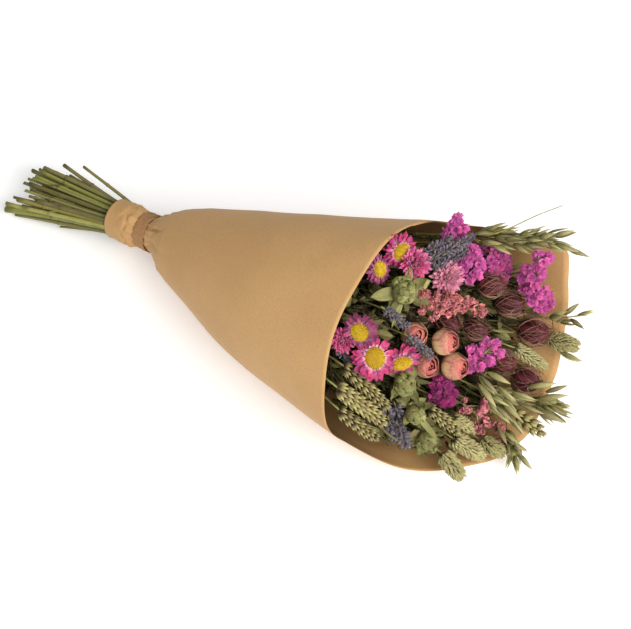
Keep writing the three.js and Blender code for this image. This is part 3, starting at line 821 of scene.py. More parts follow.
# Wheat, canary and oat husks darken toward their roots: partly their own tone, partly painted shade in the
# gaps between the husks.
WHEAT = PlantFinish("wheat_husk", 0.6, 0.12, root=(58, 48, 22), tip=(178, 165, 106), dry=(138, 122, 70),
                    start=0.1, end=0.85, spread=0.45, dryness=0.35, nerves=0.24, count=4)
CANARY = PlantFinish("canary_husk", 0.65, 0.1, root=(92, 86, 50), tip=(182, 173, 120), dry=(134, 126, 80),
                     start=0.1, end=0.7, spread=0.35, dryness=0.35, nerves=0.22, count=4)
OAT = PlantFinish("oat_husk", 0.7, 0.08, root=(106, 100, 54), tip=(190, 182, 128), dry=(144, 136, 84),
                  start=0.1, end=0.95, spread=0.55, dryness=0.4, nerves=0.34, count=9)
STRAW = PlantFinish("straw_stem", 0.55, 0.08, root=(144, 138, 68), tip=(128, 126, 72), dry=(160, 144, 92),
                    start=0.0, end=0.6, spread=0.5, dryness=0.6, nerves=0.1, count=8)
OLIVE = PlantFinish("green_stem", 0.6, 0.08, root=(134, 130, 64), tip=(114, 116, 62), dry=(146, 136, 86),
                    start=0.0, end=0.6, spread=0.7, dryness=0.6, nerves=0.3, count=6)
BROWN = PlantFinish("brown_stem", 0.65, 0.08, root=(132, 124, 74), tip=(108, 104, 60), dry=(118, 104, 68),
                    start=0.0, end=0.6, spread=0.5, dryness=0.5, nerves=0.1, count=8)
DULL = PlantFinish("small_leaf", 0.75, 0.1, root=(128, 122, 78), tip=(120, 114, 70), dry=(106, 88, 56),
                   start=0.0, end=0.9, spread=0.6, dryness=0.5, nerves=0.15, count=4)
# Near-black leaves set deep between the stems: painted shade in the gaps between the heads.
PAINTED_SHADE_LEAF = PlantFinish("painted_shade_leaf", 0.85, 0.1, root=(48, 40, 24), tip=(64, 54, 32), dry=(52, 36, 26),
                   start=0.0, end=0.9, spread=0.6, dryness=0.5, nerves=0.1, count=4)
# Dark olive for the thread leaves and the canary cores: partly the leaves' own colour, partly painted shade
# between the heads and between the husks.
SHADE = PlantFinish("thread_leaf_and_shade", 0.75, 0.05, root=(74, 72, 38), tip=(104, 104, 58), dry=(88, 68, 46),
                    start=0.0, end=0.9, spread=0.6, nerves=0.0)


# The paper

@dataclass
class PaperWrap:
    """One sheet of paper rolled into a cone, with its outer edge lapped over the inner one.

    Sizes are in millimetres, clocks in degrees from up toward the short side. Facets have a depth, a
    fineness, a drift along the cone, a start, a highest and a middle value, a station and a reach.
    Dents have a clock, a start, an end and a depth. Creases have a clock, a depth, a width, a start
    and an end.
    """

    columns: int = 200
    rows: int = 130
    thick: float = 0.4
    seam: float = 272.0
    lap: float = 26.0
    step: float = 0.9
    sway: float = 9.0
    sway_from: float = 270.0
    neck_share: float = 0.6
    neck_end: float = 70.0
    gathers: int = 7
    gather_high: float = 0.8
    gather_reach: float = 19.0
    cuff: float = 3.0
    taper: float = 6.0
    flat_back: float = 7.0
    full_near: float = 3.0
    swell: float = 1.5
    lip: float = 0.15
    lip_wave: float = 1.6
    lip_waves: int = 7
    facets: tuple = ((7.0, 1.25, 0.07, 0.3, 0.4, 0.2, -17.0, 9.5),
                     (5.0, 1.7, 0.06, 0.0, 0.45, 0.25, 26.0, 17.0))
    dents: tuple = ((48, 8, 34, 3.2), (88, 12, 44, 2.6), (12, 14, 40, 1.8), (64, 6, 14, 2.0))
    creases: tuple = ((52, 1.7, 10, 9, 62), (84, 1.5, 8, 9, 84), (24, 1.3, 9, 10, 70), (112, 1.3, 12, 8, 60),
                      (352, 6, 5, 18, 40), (316, 1.2, 9, 9, 50), (150, 1.1, 10, 10, 48),
                      (238, 1.1, 11, 9, 58), (200, 1.0, 9, 9, 44), (68, 0.9, 5, 20, 46))

    def relief(self, s: float, clock: float) -> float:
        """How far the sheet stands out from the plain cone, at a station and clock."""
        angle = math.radians(clock)
        folds = abs(math.sin(self.gathers * angle + 0.7 * math.sin(3.0 * angle)))
        out = self.gather_high * (1.0 - 2.0 * folds) * bell(s, 0.0, self.gather_reach)
        out += self.cuff * bell(s, -15.0, 8.0) - self.taper * ease((-s - 24.0) / 24.0)
        ring = polar(angle)
        for deep, fine, drift, start, top, middle, station, reach in self.facets:
            near, far = noise.voronoi(ring * fine + Vector((start, 0.0, s * drift)))[0][:2]
            out += deep * (min(far - near, top) - middle) * bell(s, station, reach)
        for at, start, end, deep in self.dents:
            out -= deep * meets(clock, at, 10) * ease((s - start) / 10.0) * (1.0 - ease((s - end) / 6.0))
        for at, deep, wide, start, end in self.creases:
            away = abs((clock - at + 180.0) % 360.0 - 180.0 + 0.10 * (s - start))
            along = ease((s - start + 8.0) / 14.0) * (1.0 - ease((s - end * 0.5) / (end * 0.7)))
            out -= deep * along * max(0.0, 1.0 - away / wide)
        swell = noise.noise(polar(angle, 1.6, s * 0.011 + 4.0))
        return out + self.swell * swell * ease((s - 30.0) / 80.0)

    def pressed(self, s: float, clock: float) -> float:
        """The flatter back and the fuller near side, as in the part's source."""
        return (self.full_near * bell(s, 150.0, 45.0) * meets(clock, 88.0, 2)
                - self.flat_back * math.sin(math.pi * clamp((s - 70.0) / 230.0)) * meets(clock, 270.0, 2))

    def aside(self, s: float) -> float:
        """How far the cone's middle line sways toward its far side, at a station."""
        return self.sway * ease((s - self.sway_from) / 160.0)

    def room(self, p: Vector) -> float:
        """How far a point is inside the sheet, or inside its line carried on past the mouth."""
        q = p - TIE
        s = q.dot(AXIS)
        across, up = q.dot(SIDE) - self.aside(s), q.dot(LIFT)
        clock = math.degrees(math.atan2(-across, up) - NEAR)
        return table(CONE, s) + self.pressed(s, clock) - math.hypot(across, up)

    def edge(self, clock: float) -> float:
        """Where the sheet ends toward the mouth."""
        return softened(RIM, clock % 360.0, 3.0)

    def point(self, around: float, along: float) -> Vector:
        """A point of the sheet, from its share around and along."""
        turned = (360.0 + self.lap) * around
        clock = self.seam + turned
        end = self.edge(clock)
        if along < self.neck_share:
            s = mix(COLLAR, self.neck_end, along / self.neck_share)
        else:
            s = mix(self.neck_end, end, (along - self.neck_share) / (1.0 - self.neck_share))
        angle = NEAR + math.radians(clock)
        under = self.step * ease((turned - 318.0) / 42.0)
        lip = self.lip * ease((s - end + 9.0) / 9.0)
        wave = self.lip_wave * ease((s - end + 50.0) / 50.0)
        wave *= math.sin(math.radians(clock) * self.lip_waves + 0.6)
        r = softened(CONE, s, 3.0 if s < 20.0 else 9.0) + self.relief(s, clock) + self.pressed(s, clock)
        r += lip + wave - under
        p = TIE + AXIS * s + LIFT * (r * math.cos(angle)) + SIDE * (self.aside(s) - r * math.sin(angle))
        p.z = max(p.z, self.thick + 0.1 + under)
        return p

    def build(self) -> None:
        """Bends a grid round the cone and gives it the paper's thickness."""
        bunch = Bunch()
        bm = fresh()
        bmesh.ops.create_grid(bm, x_segments=self.columns, y_segments=self.rows, size=0.5)
        for v in bm.verts:
            v.co = self.point(v.co.x + 0.5, v.co.y + 0.5)
        bmesh.ops.recalc_face_normals(bm, faces=bm.faces[:])
        bmesh.ops.solidify(bm, geom=bm.faces[:], thickness=self.thick)
        bunch.add(bm)
        bunch.finish("wrap_paper", "kraft_paper", (KRAFT,), ("wrap",))


@dataclass
class NeckTie:
    """The pleated paper strip tied round the neck."""

    radius: float = 20.0
    width: float = 16.5
    thick: float = 1.3
    steps: int = 200
    pleats: int = 42
    fold: float = 0.32
    crumple: float = 0.8
    pinch: float = -0.9
    edge: float = 0.4
    cone: float = 0.05

    def build(self) -> None:
        """Spins a flat ring section round the cone's axis and pleats it."""
        bm = fresh()
        bmesh.ops.create_circle(bm, segments=14, radius=1.0)
        bmesh.ops.transform(bm, matrix=size(self.width / 2, self.thick / 2, 1.0), verts=bm.verts[:])
        for v in bm.verts:
            along, out = v.co.x, v.co.y
            v.co = TIE + AXIS * along + LIFT * (self.radius + out + self.cone * along)
        bmesh.ops.spin(bm, geom=bm.verts[:] + bm.edges[:], cent=TIE, axis=AXIS, angle=TURN,
                       steps=self.steps, use_merge=True)
        for v in bm.verts:
            arm = v.co - TIE
            s = arm.dot(AXIS)
            flat = arm - AXIS * s
            angle = math.atan2(flat.dot(SIDE), flat.dot(LIFT))
            fold = self.fold * math.sin(self.pleats * angle + 0.28 * s + 2.0 * math.sin(3.0 * angle))
            crumple = self.crumple * noise.noise(polar(angle, 5.0, s * 0.16))
            v.co += flat.normalized() * (fold + crumple + self.pinch * bell(s, 0.0, 2.2))
            v.co += AXIS * (self.edge * math.sin(9.0 * angle) * (s / self.width))
        bmesh.ops.recalc_face_normals(bm, faces=bm.faces[:])
        bunch = Bunch()
        bunch.add(bm)
        bunch.finish("neck_tie", "tie_paper", (TIE_PAPER,), ("tie_band",))


# Heads

@dataclass(frozen=True)
class Head:
    """A flower head: its name, its middle, where it faces and its radius."""

    name: str
    at: Vector
    faces: Vector
    r: float
    shank: ClassVar[float] = 0.0
    depth: ClassVar[float] = 0.0
    behind: ClassVar[float] = 14.0
    homeward: ClassVar[float] = 6.0
    slot: ClassVar[str] = ""
    title: ClassVar[str] = "{}"
    finishes: ClassVar[tuple[Finish, ...]] = ()

    @property
    def dice(self) -> Dice:
        """Draws that are the head's own."""
        return Dice(sum(ord(c) * (k + 7) for k, c in enumerate(self.name)))

    @property
    def centre(self) -> Matrix:
        """The head's place, with Z along it and X leaning toward the shown side."""
        return facing(self.at, self.faces)

    def stand(self, turn: float = 0.0) -> Matrix:
        """The head's place, with Z where it faces."""
        return stand(self.at, self.faces.normalized(), turn)

    def foot(self) -> tuple[Vector, Vector]:
        """Where the stem ends and which way it runs there."""
        along = self.faces.normalized()
        return self.at - along * (self.depth + self.r * self.shank), along

    def bend(self) -> Vector:
        """A point that the stem passes on its way."""
        foot, along = self.foot()
        end = foot - along * SEAT
        return end - along * self.behind - (end - TIE).normalized() * self.homeward

    def shaft(self, heights: Sequence[float], unit: float = 1.0) -> list[Vector]:
        """Points on the line through the head's middle, at heights above it in a unit."""
        return [self.at + self.faces.normalized() * unit * h for h in heights]

    def arrange(self, dice: Dice, bunch: Bunch) -> None:
        """Sets the head's shapes in a bunch."""
        raise NotImplementedError

    def build(self) -> None:
        """Makes the head's piece."""
        bunch = Bunch()
        self.arrange(self.dice, bunch)
        bunch.finish(self.title.format(self.name), self.slot, self.finishes, (self.name,))


@dataclass(frozen=True)
class Spike(Head):
    """A long head, from its foot at one point to its tip at another."""

    behind: ClassVar[float] = 4.0
    homeward: ClassVar[float] = 14.0
    via: Optional[Spot] = None

    def foot(self) -> tuple[Vector, Vector]:
        """The stem meets the head's own foot."""
        return self.at.copy(), self.along

    def bend(self) -> Vector:
        """A point that the stem passes on its way, its own where one is given."""
        return Vector(self.via) if self.via else super().bend()

    @property
    def along(self) -> Vector:
        """The head's direction. A long head keeps its tip where a round one keeps its facing."""
        return (self.faces - self.at).normalized()

    @property
    def length(self) -> float:
        """The head's length."""
        return (self.faces - self.at).length

    @property
    def centre(self) -> Matrix:
        """The place of its foot, with Z along it and X leaning toward the shown side."""
        return facing(self.at, self.along)

    def stem(self, bunch: Bunch, share: float, radii: Sequence[float], sides: int, lot: float,
             finish: int = 0) -> None:
        """Adds the stem inside the head, up to a share of its length."""
        bunch.thread([self.at, self.at + self.along * self.length * share], radii, sides, lot, finish)


class DaisyKind(Enum):
    """How a paper daisy is filled."""

    DISC = "disc"
    DOUBLE = "double"
    PALE = "pale"
    # Darker, purpler petals: partly their own tone, partly painted shade.
    DUSKY = "dusky"


@dataclass(frozen=True)
class PaperDaisy(Head):
    """A paper daisy: layers of stiff petals round a yellow disc, or filled to the middle."""

    kind: DaisyKind = DaisyKind.DISC
    droop: float = 0.0
    depth: ClassVar[float] = 8.0
    slot: ClassVar[str] = "pink_petals"
    florets: ClassVar[int] = 170
    petals: ClassVar[dict[DaisyKind, Finish]] = {DaisyKind.DISC: PINK, DaisyKind.DOUBLE: HOT_PINK,
                                                 DaisyKind.PALE: PALE_PINK, DaisyKind.DUSKY: DUSKY}

    @property
    def open(self) -> bool:
        """Whether the disc shows."""
        return self.kind in (DaisyKind.DISC, DaisyKind.DUSKY)

    def rings(self) -> tuple[tuple[float, float, int, float, float, float], ...]:
        """The rings of petals, from the outside in.

        Returns:
            For each ring the petals' length, width, count, distance from the middle, rise and tilt.
            Lengths, widths and distances are shares of the radius.
        """
        if self.open:
            return ((0.76, 0.27, 15, 0.26, -1.8, 0.02), (0.72, 0.25, 15, 0.28, -1.0, 0.2),
                    (0.62, 0.22, 14, 0.32, -0.2, 0.42), (0.3, 0.15, 18, 0.42, 0.2, 0.7))
        return ((0.8, 0.2, 20, 0.22, -1.6, 0.1), (0.76, 0.19, 20, 0.2, -0.8, 0.34),
                (0.7, 0.18, 18, 0.17, 0.0, 0.56), (0.64, 0.17, 16, 0.14, 0.6, 0.78),
                (0.56, 0.16, 13, 0.11, 1.0, 1.0), (0.5, 0.15, 10, 0.07, 1.3, 1.2),
                (0.42, 0.13, 6, 0.03, 1.5, 1.42))

    def build(self) -> None:
        """Sets the petals and, on an open one, the disc."""
        dice, bunch, centre, r = self.dice, Bunch(), self.centre, self.r
        bends = (-0.2, 0.3) if self.droop else (0.15, 0.6)
        for k, (length, width, count, radius, rise, tilt) in enumerate(self.rings()):
            for half, bend in enumerate(bends):
                petal = Blade(r * length, r * width, 0.42, 0.62, 0.8, cup=0.22, bend=bend,
                              twist=0.15 - 0.3 * half, thick=0.25, rows=5)
                bunch.whorl(centre, petal, (count + half) // 2, r * radius, rise, tilt - self.droop, dice,
                            turn=k * 0.37 + half * TURN / count, spread=0.13)
        scale = Husk(r * 0.3, r * 0.16, 0.8, finish=1, sides=6, rows=4)
        for k, (count, rise, tilt) in enumerate(((12, -3.0, 0.2), (9, -4.4, 0.7), (6, -5.8, 1.1))):
            bunch.whorl(centre, scale, count, r * 0.14 - k * 0.7, rise, tilt, dice, turn=k * 0.3)
        bunch.thread(self.shaft((-8.4, -6.0, -3.6, -1.4)), (1.0, 1.5, 2.6, r * 0.26), 8, dice(), 1)
        finishes = (self.petals[self.kind], CALYX)
        bunch.finish(f"paper_{self.name}_petals", self.slot, finishes, (f"{self.name}_petals",))
        if self.open:
            self.disc(dice)

    def disc(self, dice: Dice) -> None:
        """A low dome of tiny florets set on a golden spiral."""
        bunch, r, high = Bunch(), self.r * 0.48, self.r * 0.24
        dome = fresh()
        bmesh.ops.create_uvsphere(dome, u_segments=24, v_segments=12, radius=1.0)
        bmesh.ops.transform(dome, matrix=self.stand() @ size(r * 0.97, r * 0.97, high), verts=dome.verts[:])
        bunch.add(dome, 0.45)
        floret = Husk(1.5, 1.1, 0.9, 0.6, 0.5, under=1.0, sides=5, rows=4)
        for k in range(self.florets):
            far = math.sqrt((k + 0.5) / self.florets)
            way = Vector((0.0, far * high / r, math.sqrt(1.0 - far * far * 0.98)))
            place = (self.stand() @ spin(k * GOLDEN)
                     @ stand(Vector((0.0, r * far * 0.97, high * way.z - 0.5)), way) @ spin(QUARTER, "X"))
            bunch.place(floret, place @ size(1.0, dice(0.7, 1.1), 1.0), dice())
        bunch.finish(f"paper_{self.name}_disc", "yellow_disc", (YELLOW,), (f"{self.name}_disc",))


@dataclass(frozen=True)
class Rosebud(Head):
    """A small dried rose, nearly closed: petals wrapped in a spiral, with sepals under them."""

    shank: ClassVar[float] = 0.85
    depth: ClassVar[float] = 4.0
    slot: ClassVar[str] = "rose_petals"
    title: ClassVar[str] = "dried_{}"
    finishes: ClassVar[tuple[Finish, ...]] = (PEACH, GREEN, ROSE_EDGE)

    def petal(self, turn: float, wide: float, k: float, top: float, flare: float, dice: Dice,
              bunch: Bunch, finish: int = 0) -> None:
        """Adds one petal that wraps round the bud.

        Args:
            turn: the middle of the petal, in radians.
            wide: how far round it reaches.
            k: its distance from the bud's middle, as a share.
            top: how high its edge is, as a share of the radius.
            flare: how far its edge rolls out.
            dice: the seeded draws.
            bunch: where it goes.
            finish: the number of its material.
        """
        bm = fresh()
        bmesh.ops.create_grid(bm, x_segments=12, y_segments=10, size=0.5)
        grow, side, _ = layers(bm)
        centre, r = self.centre, self.r
        for v in bm.verts:
            across, along = 2.0 * v.co.x, v.co.y + 0.5
            reach = along * (1.0 - 0.2 * abs(across) ** 3)
            h = mix(-0.98, top, reach)
            belly = math.sqrt(max(0.03, 1.0 - ((h + 0.2) / (1.24 if h > -0.2 else 0.88)) ** 2))
            ripple = 0.045 * math.sin(7.0 * across + 5.0 * turn) * ease(2.0 * along - 1.0)
            edge = ease((along - 0.76) / 0.24)
            far = r * (k * belly * (1.0 + 0.05 * across) + flare * edge + ripple)
            angle = turn + across * wide / 2
            v[grow], v[side] = max(along, 0.86 * abs(across) ** 3), across
            v.co = centre @ polar(angle, far, (h - 0.03 * edge) * r)
        bmesh.ops.recalc_face_normals(bm, faces=bm.faces[:])
        bmesh.ops.solidify(bm, geom=bm.faces[:], thickness=0.3)
        bunch.add(bm, dice(), finish)

    def arrange(self, dice: Dice, bunch: Bunch) -> None:
        """Wraps inner and outer petals and sets the sepals."""
        r = self.r
        for k in range(4):
            self.petal(k * 1.9 + 0.4, 3.3, 0.2 + 0.15 * k, 1.0, 0.02, dice, bunch, 2)
        for k in range(4):
            top, flare = dice(0.86, 0.99), dice(0.02, 0.06)
            self.petal(k * GOLDEN + 1.1, 3.0, 0.8 + 0.04 * k, top, flare, dice, bunch, 2)
        for k in range(5):
            turn, top, flare = k * GOLDEN + dice(0, 0.4), dice(0.5, 0.9), dice(0.03, 0.12)
            self.petal(turn, 2.5, 0.95 + 0.03 * k, top, flare, dice, bunch)
        sepal = Blade(r * 0.95, r * 0.36, 0.7, 0.3, 1.0, bend=0.7, cup=0.15, finish=1, wave=0.05)
        bunch.whorl(self.centre, sepal, 5, r * 0.2, -r * 0.95, 0.6, dice, spread=0.2)
        bunch.thread(self.shaft((-1.32, -1.1, -0.98, -0.86), r), (1.1, 1.9, 2.8, 3.8), 8, dice(), 1)


@dataclass(frozen=True)
class SeedPod(Head):
    """A ribbed, horned seed pod in a cage of thread-like bracts."""

    shank: ClassVar[float] = 0.9
    depth: ClassVar[float] = 4.0
    slot: ClassVar[str] = "seed_pod"
    title: ClassVar[str] = "caged_{}"
    finishes: ClassVar[tuple[Finish, ...]] = (MAROON, SEAM, BRACT)
    lobes: ClassVar[int] = 6
    threads: ClassVar[int] = 44

    def rib(self, angle: float) -> float:
        """How near an angle is to a lobe's crest, from 0 at a seam to 1."""
        return abs(math.cos(angle * self.lobes / 2))

    def skin(self, angle: float, h: float, sink: float) -> Vector:
        """A point of the pod's skin, from its angle and height, with the seams sunk by a share."""
        far = 0.8 * (1.0 - h * h) ** 0.5 * (1.0 - sink + sink * self.rib(angle) ** 0.7) * (1.0 - 0.12 * h)
        return self.stand() @ (polar(angle, far, 1.04 * h) * self.r)

    def arrange(self, dice: Dice, bunch: Bunch) -> None:
        """Shapes the pod from a ball, then adds seams, horns and threads."""
        r, pod = self.r, fresh()
        bmesh.ops.create_uvsphere(pod, u_segments=self.lobes * 8, v_segments=16, radius=1.0)
        grow, side, _ = layers(pod)
        for v in pod.verts:
            angle, h = math.atan2(v.co.y, v.co.x), clamp(v.co.z, -1.0, 1.0)
            # Grow runs from seam to crest: the skin is painted darker in the seams and lighter on the crests.
            v[grow], v[side] = self.rib(angle), angle
            v.co = self.skin(angle, h, 0.28)
        bunch.add(pod, dice())
        for i in range(self.lobes):
            angle = math.pi / self.lobes * (2 * i + 1)
            line = [self.skin(angle, -0.97 + 1.94 * k / 10, 0.25) for k in range(11)]
            bunch.thread(line, [0.4] * 11, 5, dice(), 1)
        horn = Husk(r * 0.6, 1.6, 1.5, 0.2, 1.6, under=1.0, bend=0.9, finish=1, sides=6)
        bunch.whorl(self.stand(), horn, self.lobes, r * 0.16, r * 0.72, 1.0, dice)
        for k in range(self.threads):
            self.strand(k, dice, bunch)
        bunch.thread(self.shaft((-1.25, -1.05, -0.8), r), (1.0, 1.4, 2.2), 8, dice(), 2)

    def strand(self, k: int, dice: Dice, bunch: Bunch) -> None:
        """Adds one thread that rises round the pod and strays past its tip, with small side threads."""
        start, drift, wide = k * GOLDEN, dice(-2.2, 2.2), dice(1.0, 1.2)
        end = dice(0.5, 1.15)
        rows = ((0.0, 0.16, -0.98), (0.25, 0.58 * wide, -0.8), (0.5, 0.86 * wide, -0.25),
                (0.72, 0.88 * wide, 0.35), (0.88, 0.7 * wide, end * 0.85),
                (1.0, dice(0.4, 0.95), end + dice(-0.1, 0.25)))
        line = [self.stand() @ (polar(start + drift * t, far, h) * self.r) for t, far, h in rows]
        path = bowed(line, 3)
        bunch.thread(path, [0.36 - 0.2 * i / len(path) for i in range(len(path))], 3, dice(), 2)
        if k % 2:
            side, fork = dice.way() * self.r * 0.22, path[7]
            middle = fork.lerp(line[4], 0.5) + side * 0.6
            bunch.thread([fork, middle, line[4] + side], [0.22, 0.2, 0.12], 3, dice(), 2)


@dataclass(frozen=True)
class LeafyBud(Head):
    """A green thistle-like bud with close bracts and curled leaves round it."""

    shank: ClassVar[float] = 0.9
    depth: ClassVar[float] = 4.0
    slot: ClassVar[str] = "green_bract"
    title: ClassVar[str] = "leafy_{}"
    finishes: ClassVar[tuple[Finish, ...]] = (GREEN,)
    fronds: tuple[tuple[Spot, float], ...] = ()

    def arrange(self, dice: Dice, bunch: Bunch) -> None:
        """Lays bracts over an egg and stands leaves round its foot."""
        centre, r = self.centre, self.r
        egg = Husk(r * 1.5, r * 1.2, r * 0.6, 0.42, 0.6, under=1.0, sides=14, rows=10)
        bunch.place(egg, centre @ shift(0, 0, -r * 0.85) @ spin(QUARTER, "X"), 0.2)
        bract = Blade(r * 1.45, r * 1.2, 0.5, 0.5, 0.6, cup=0.3, bend=1.25, wave=0.07, rows=8, columns=5)
        small = replace(bract, length=r * 1.05, width=r * 0.85)
        for ring, (form, count, rise, radius, tilt) in enumerate(
                ((bract, 4, -0.8, 0.3, 0.7), (bract, 4, -0.6, 0.4, 1.0), (small, 4, -0.15, 0.45, 1.15),
                 (small, 3, 0.12, 0.32, 1.35))):
            bunch.whorl(centre, form, count, r * radius, r * rise, tilt, dice, turn=ring * 0.62, spread=0.14)
        leaf = Blade(r * 1.55, r * 0.62, 0.4, 0.42, 1.0, cup=0.2, bend=0.8, wave=0.06, twist=0.4, rows=9)
        wide = Blade(r * 1.35, r * 0.8, 0.4, 0.45, 0.9, cup=-0.16, bend=-0.8, wave=0.08, twist=-0.4, rows=9)
        bunch.whorl(centre, leaf, 4, r * 0.2, -r * 0.85, 0.45, dice, spread=0.4)
        bunch.whorl(centre, wide, 4, r * 0.15, -r * 1.0, 0.25, dice, turn=0.5, spread=0.5)
        foot = self.at - self.faces.normalized() * r * 0.8
        for tip, broad in self.fronds:
            arm = Vector(tip) - foot
            long = Blade(arm.length, broad, 0.3, 0.5, 0.8, cup=0.2, bend=0.3, wave=0.04, rows=9)
            bunch.place(long, set_out(foot, arm, SHOWN), dice())
        bunch.thread(self.shaft((-1.2, -1.0, -0.8), r), (1.2, 1.6, 2.8), 8, dice())


@dataclass(frozen=True)
class LavenderSpike(Spike):
    """Lavender: rings of small ribbed calyces, a few still holding a petal, on one to three stems."""

    sprigs: tuple[tuple[float, float, float, float], ...] = ((0.0, 0.0, 0.0, 1.0),)
    slot: ClassVar[str] = "lavender_floret"
    title: ClassVar[str] = "{}_spike"
    finishes: ClassVar[tuple[Finish, ...]] = (LAVENDER, VIOLET, OLIVE)

    def arrange(self, dice: Dice, bunch: Bunch) -> None:
        """Sets each sprig, given by its shift toward the shown side, across and along, and its length."""
        for toward, across, along, share in self.sprigs:
            self.sprig(self.centre @ shift(toward, across, along), self.length * share, dice, bunch)

    def sprig(self, centre: Matrix, length: float, dice: Dice, bunch: Bunch) -> None:
        """Adds one spike, with gaps between its lower rings."""
        calyx = Husk(5.2, 2.1, 1.1, 0.62, 0.5, under=1.0, sides=6, rows=4)
        petal = Husk(2.8, 1.8, 0.8, 0.5, 0.7, under=1.0, sides=5, rows=4, finish=1)
        scale = self.r / 6.5
        rings = max(5, round(length / 4.8))
        for k in range(rings):
            t = (k + 0.3) / rings
            swell = scale * (0.86 + 0.2 * math.sin(math.pi * t)) * (1.0 - 0.4 * t ** 5) * dice(0.85, 1.12)
            place = centre @ shift(dice(-0.8, 0.8), dice(-0.8, 0.8), t * length - 1.5)
            for count, radius, rise, tilt, share in ((6, 1.2, 0.0, 0.4, 1.0), (5, 0.8, 1.4, 0.85, 0.95)):
                bunch.whorl(place, calyx, count, radius, rise, tilt, dice, turn=dice(0, 6), spread=0.34,
                            scale=swell * share)
            if dice() < 0.6:
                bunch.whorl(place, petal, 3, 3.8 * swell, 2.8, 0.7, dice, turn=dice(0, 6), spread=0.9)
        line = [centre @ Vector((0, 0, h)) for h in (-4.0, length * 0.5, length * 0.96)]
        bunch.thread(line, (0.9, 0.8, 0.5), 5, dice(), 2)


@dataclass(frozen=True)
class FloretSpray(Spike):
    """What both kinds of spray share: small clumps of florets at the ends of short branches."""

    title: ClassVar[str] = "{}_spray"
    fill: float = 1.0
    sway: float = 0.0

    def clumps(self, pitch: float, dice: Dice) -> Iterable[tuple[Vector, Vector]]:
        """Places of the clumps round the stem, and the way that each faces.

        Args:
            pitch: how far apart they are, in millimetres.
            dice: the seeded draws.

        Yields:
            Each clump's middle and direction.
        """
        turned = self.centre.to_3x3()
        count = max(4, round(self.length * self.r * self.fill / pitch ** 2))
        for k in range(count):
            t = (k + 0.5) / count
            belly = math.sqrt(clamp(1.2 - abs(2.0 * t - 1.0) ** 3))
            angle = k * GOLDEN + dice(-0.3, 0.3)
            out = turned @ polar(angle)
            far = self.r * belly * dice(0.5, 0.86)
            middle = self.at + self.along * (t * self.length * 0.94 + dice(-1.5, 1.0)) + out * far
            middle += turned @ Vector((0.0, self.sway * (0.2 + math.cos(5.2 * t)), 0.0))
            yield middle, (out + self.along * dice(0.15, 0.9)).normalized()

    def branch(self, end: Vector, bunch: Bunch, dice: Dice) -> None:
        """Adds the thin stalk from the spray's stem to a clump."""
        root = self.at + self.along * max(-2.0, (end - self.at).dot(self.along) - 7.0)
        bunch.thread([root, root.lerp(end, 0.6) + self.along, end], (0.6, 0.5, 0.4), 4, dice(), 1)


@dataclass(frozen=True)
class StaticeSpray(FloretSpray):
    """A dense spray of papery lilac florets."""

    slot: ClassVar[str] = "statice_floret"
    cups: ClassVar[tuple[Cup, ...]] = (Cup(6.0, 6.6, 5, 0.2, 0.16), Cup(6.0, 5.8, 4, 0.18, 0.24),
                                       Cup(6.0, 7.6, 5, 0.22, 0.2))
    deep: bool = False

    @property
    def finishes(self) -> tuple[Finish, ...]:
        """Its materials, darker in a deep one."""
        return MAGENTA if self.deep else LILAC, GREEN

    def arrange(self, dice: Dice, bunch: Bunch) -> None:
        """Sets the florets of each clump close together."""
        for middle, way in self.clumps(5.6, dice):
            self.branch(middle, bunch, dice)
            for k in range(9):
                aim = (way + dice.way() * 0.95).normalized()
                root = middle + aim * dice(-3.6, 0.0)
                bunch.place(self.cups[k % 3], stand(root, aim, dice(0, 6)) @ size(dice(0.8, 1.15)), dice())
        self.stem(bunch, 0.97, (1.2, 0.7), 6, dice(), 1)


@dataclass(frozen=True)
class CoralSpray(FloretSpray):
    """A spray of crumpled coral florets, placed by share along, across, toward the shown side and size."""

    slot: ClassVar[str] = "coral_floret"
    finishes: ClassVar[tuple[Finish, ...]] = (CORAL, GREEN)
    blooms: tuple[tuple[float, float, float, float], ...] = ()

    def arrange(self, dice: Dice, bunch: Bunch) -> None:
        """Builds each bloom from three rings of ruffled petals, with two smaller ones beside it."""
        petal = Blade(10.0, 7.8, 0.4, 0.7, 0.5, cup=0.24, bend=0.2, wave=0.3, waves=1.5, columns=4, rows=5)
        rings = ((petal, 5, 0.0, 0.2), (replace(petal, length=8.6, width=6.6, bend=0.4), 4, 0.5, 0.65),
                 (replace(petal, length=6.6, width=5.0, bend=0.8), 3, 1.0, 1.1))
        for share, across, toward, grown in self.blooms:
            middle = self.centre @ Vector((toward, across, share * self.length))
            for k in range(3):
                stray = dice.way()
                way = (SHOWN + self.along * 0.4 + stray * 0.6).normalized()
                where = middle + (stray * 5.0 if k else Vector())
                self.branch(where, bunch, dice)
                place = stand(where, way, dice(0, 6))
                scale = grown * dice(0.85, 1.05) * (0.55 if k else 0.96)
                for form, count, rise, tilt in rings:
                    bunch.whorl(place, form, count, 0.5, rise, tilt, dice, turn=dice(0, 6), spread=0.4,
                                scale=scale)
        self.stem(bunch, 0.97, (1.2, 0.7), 6, dice(), 1)


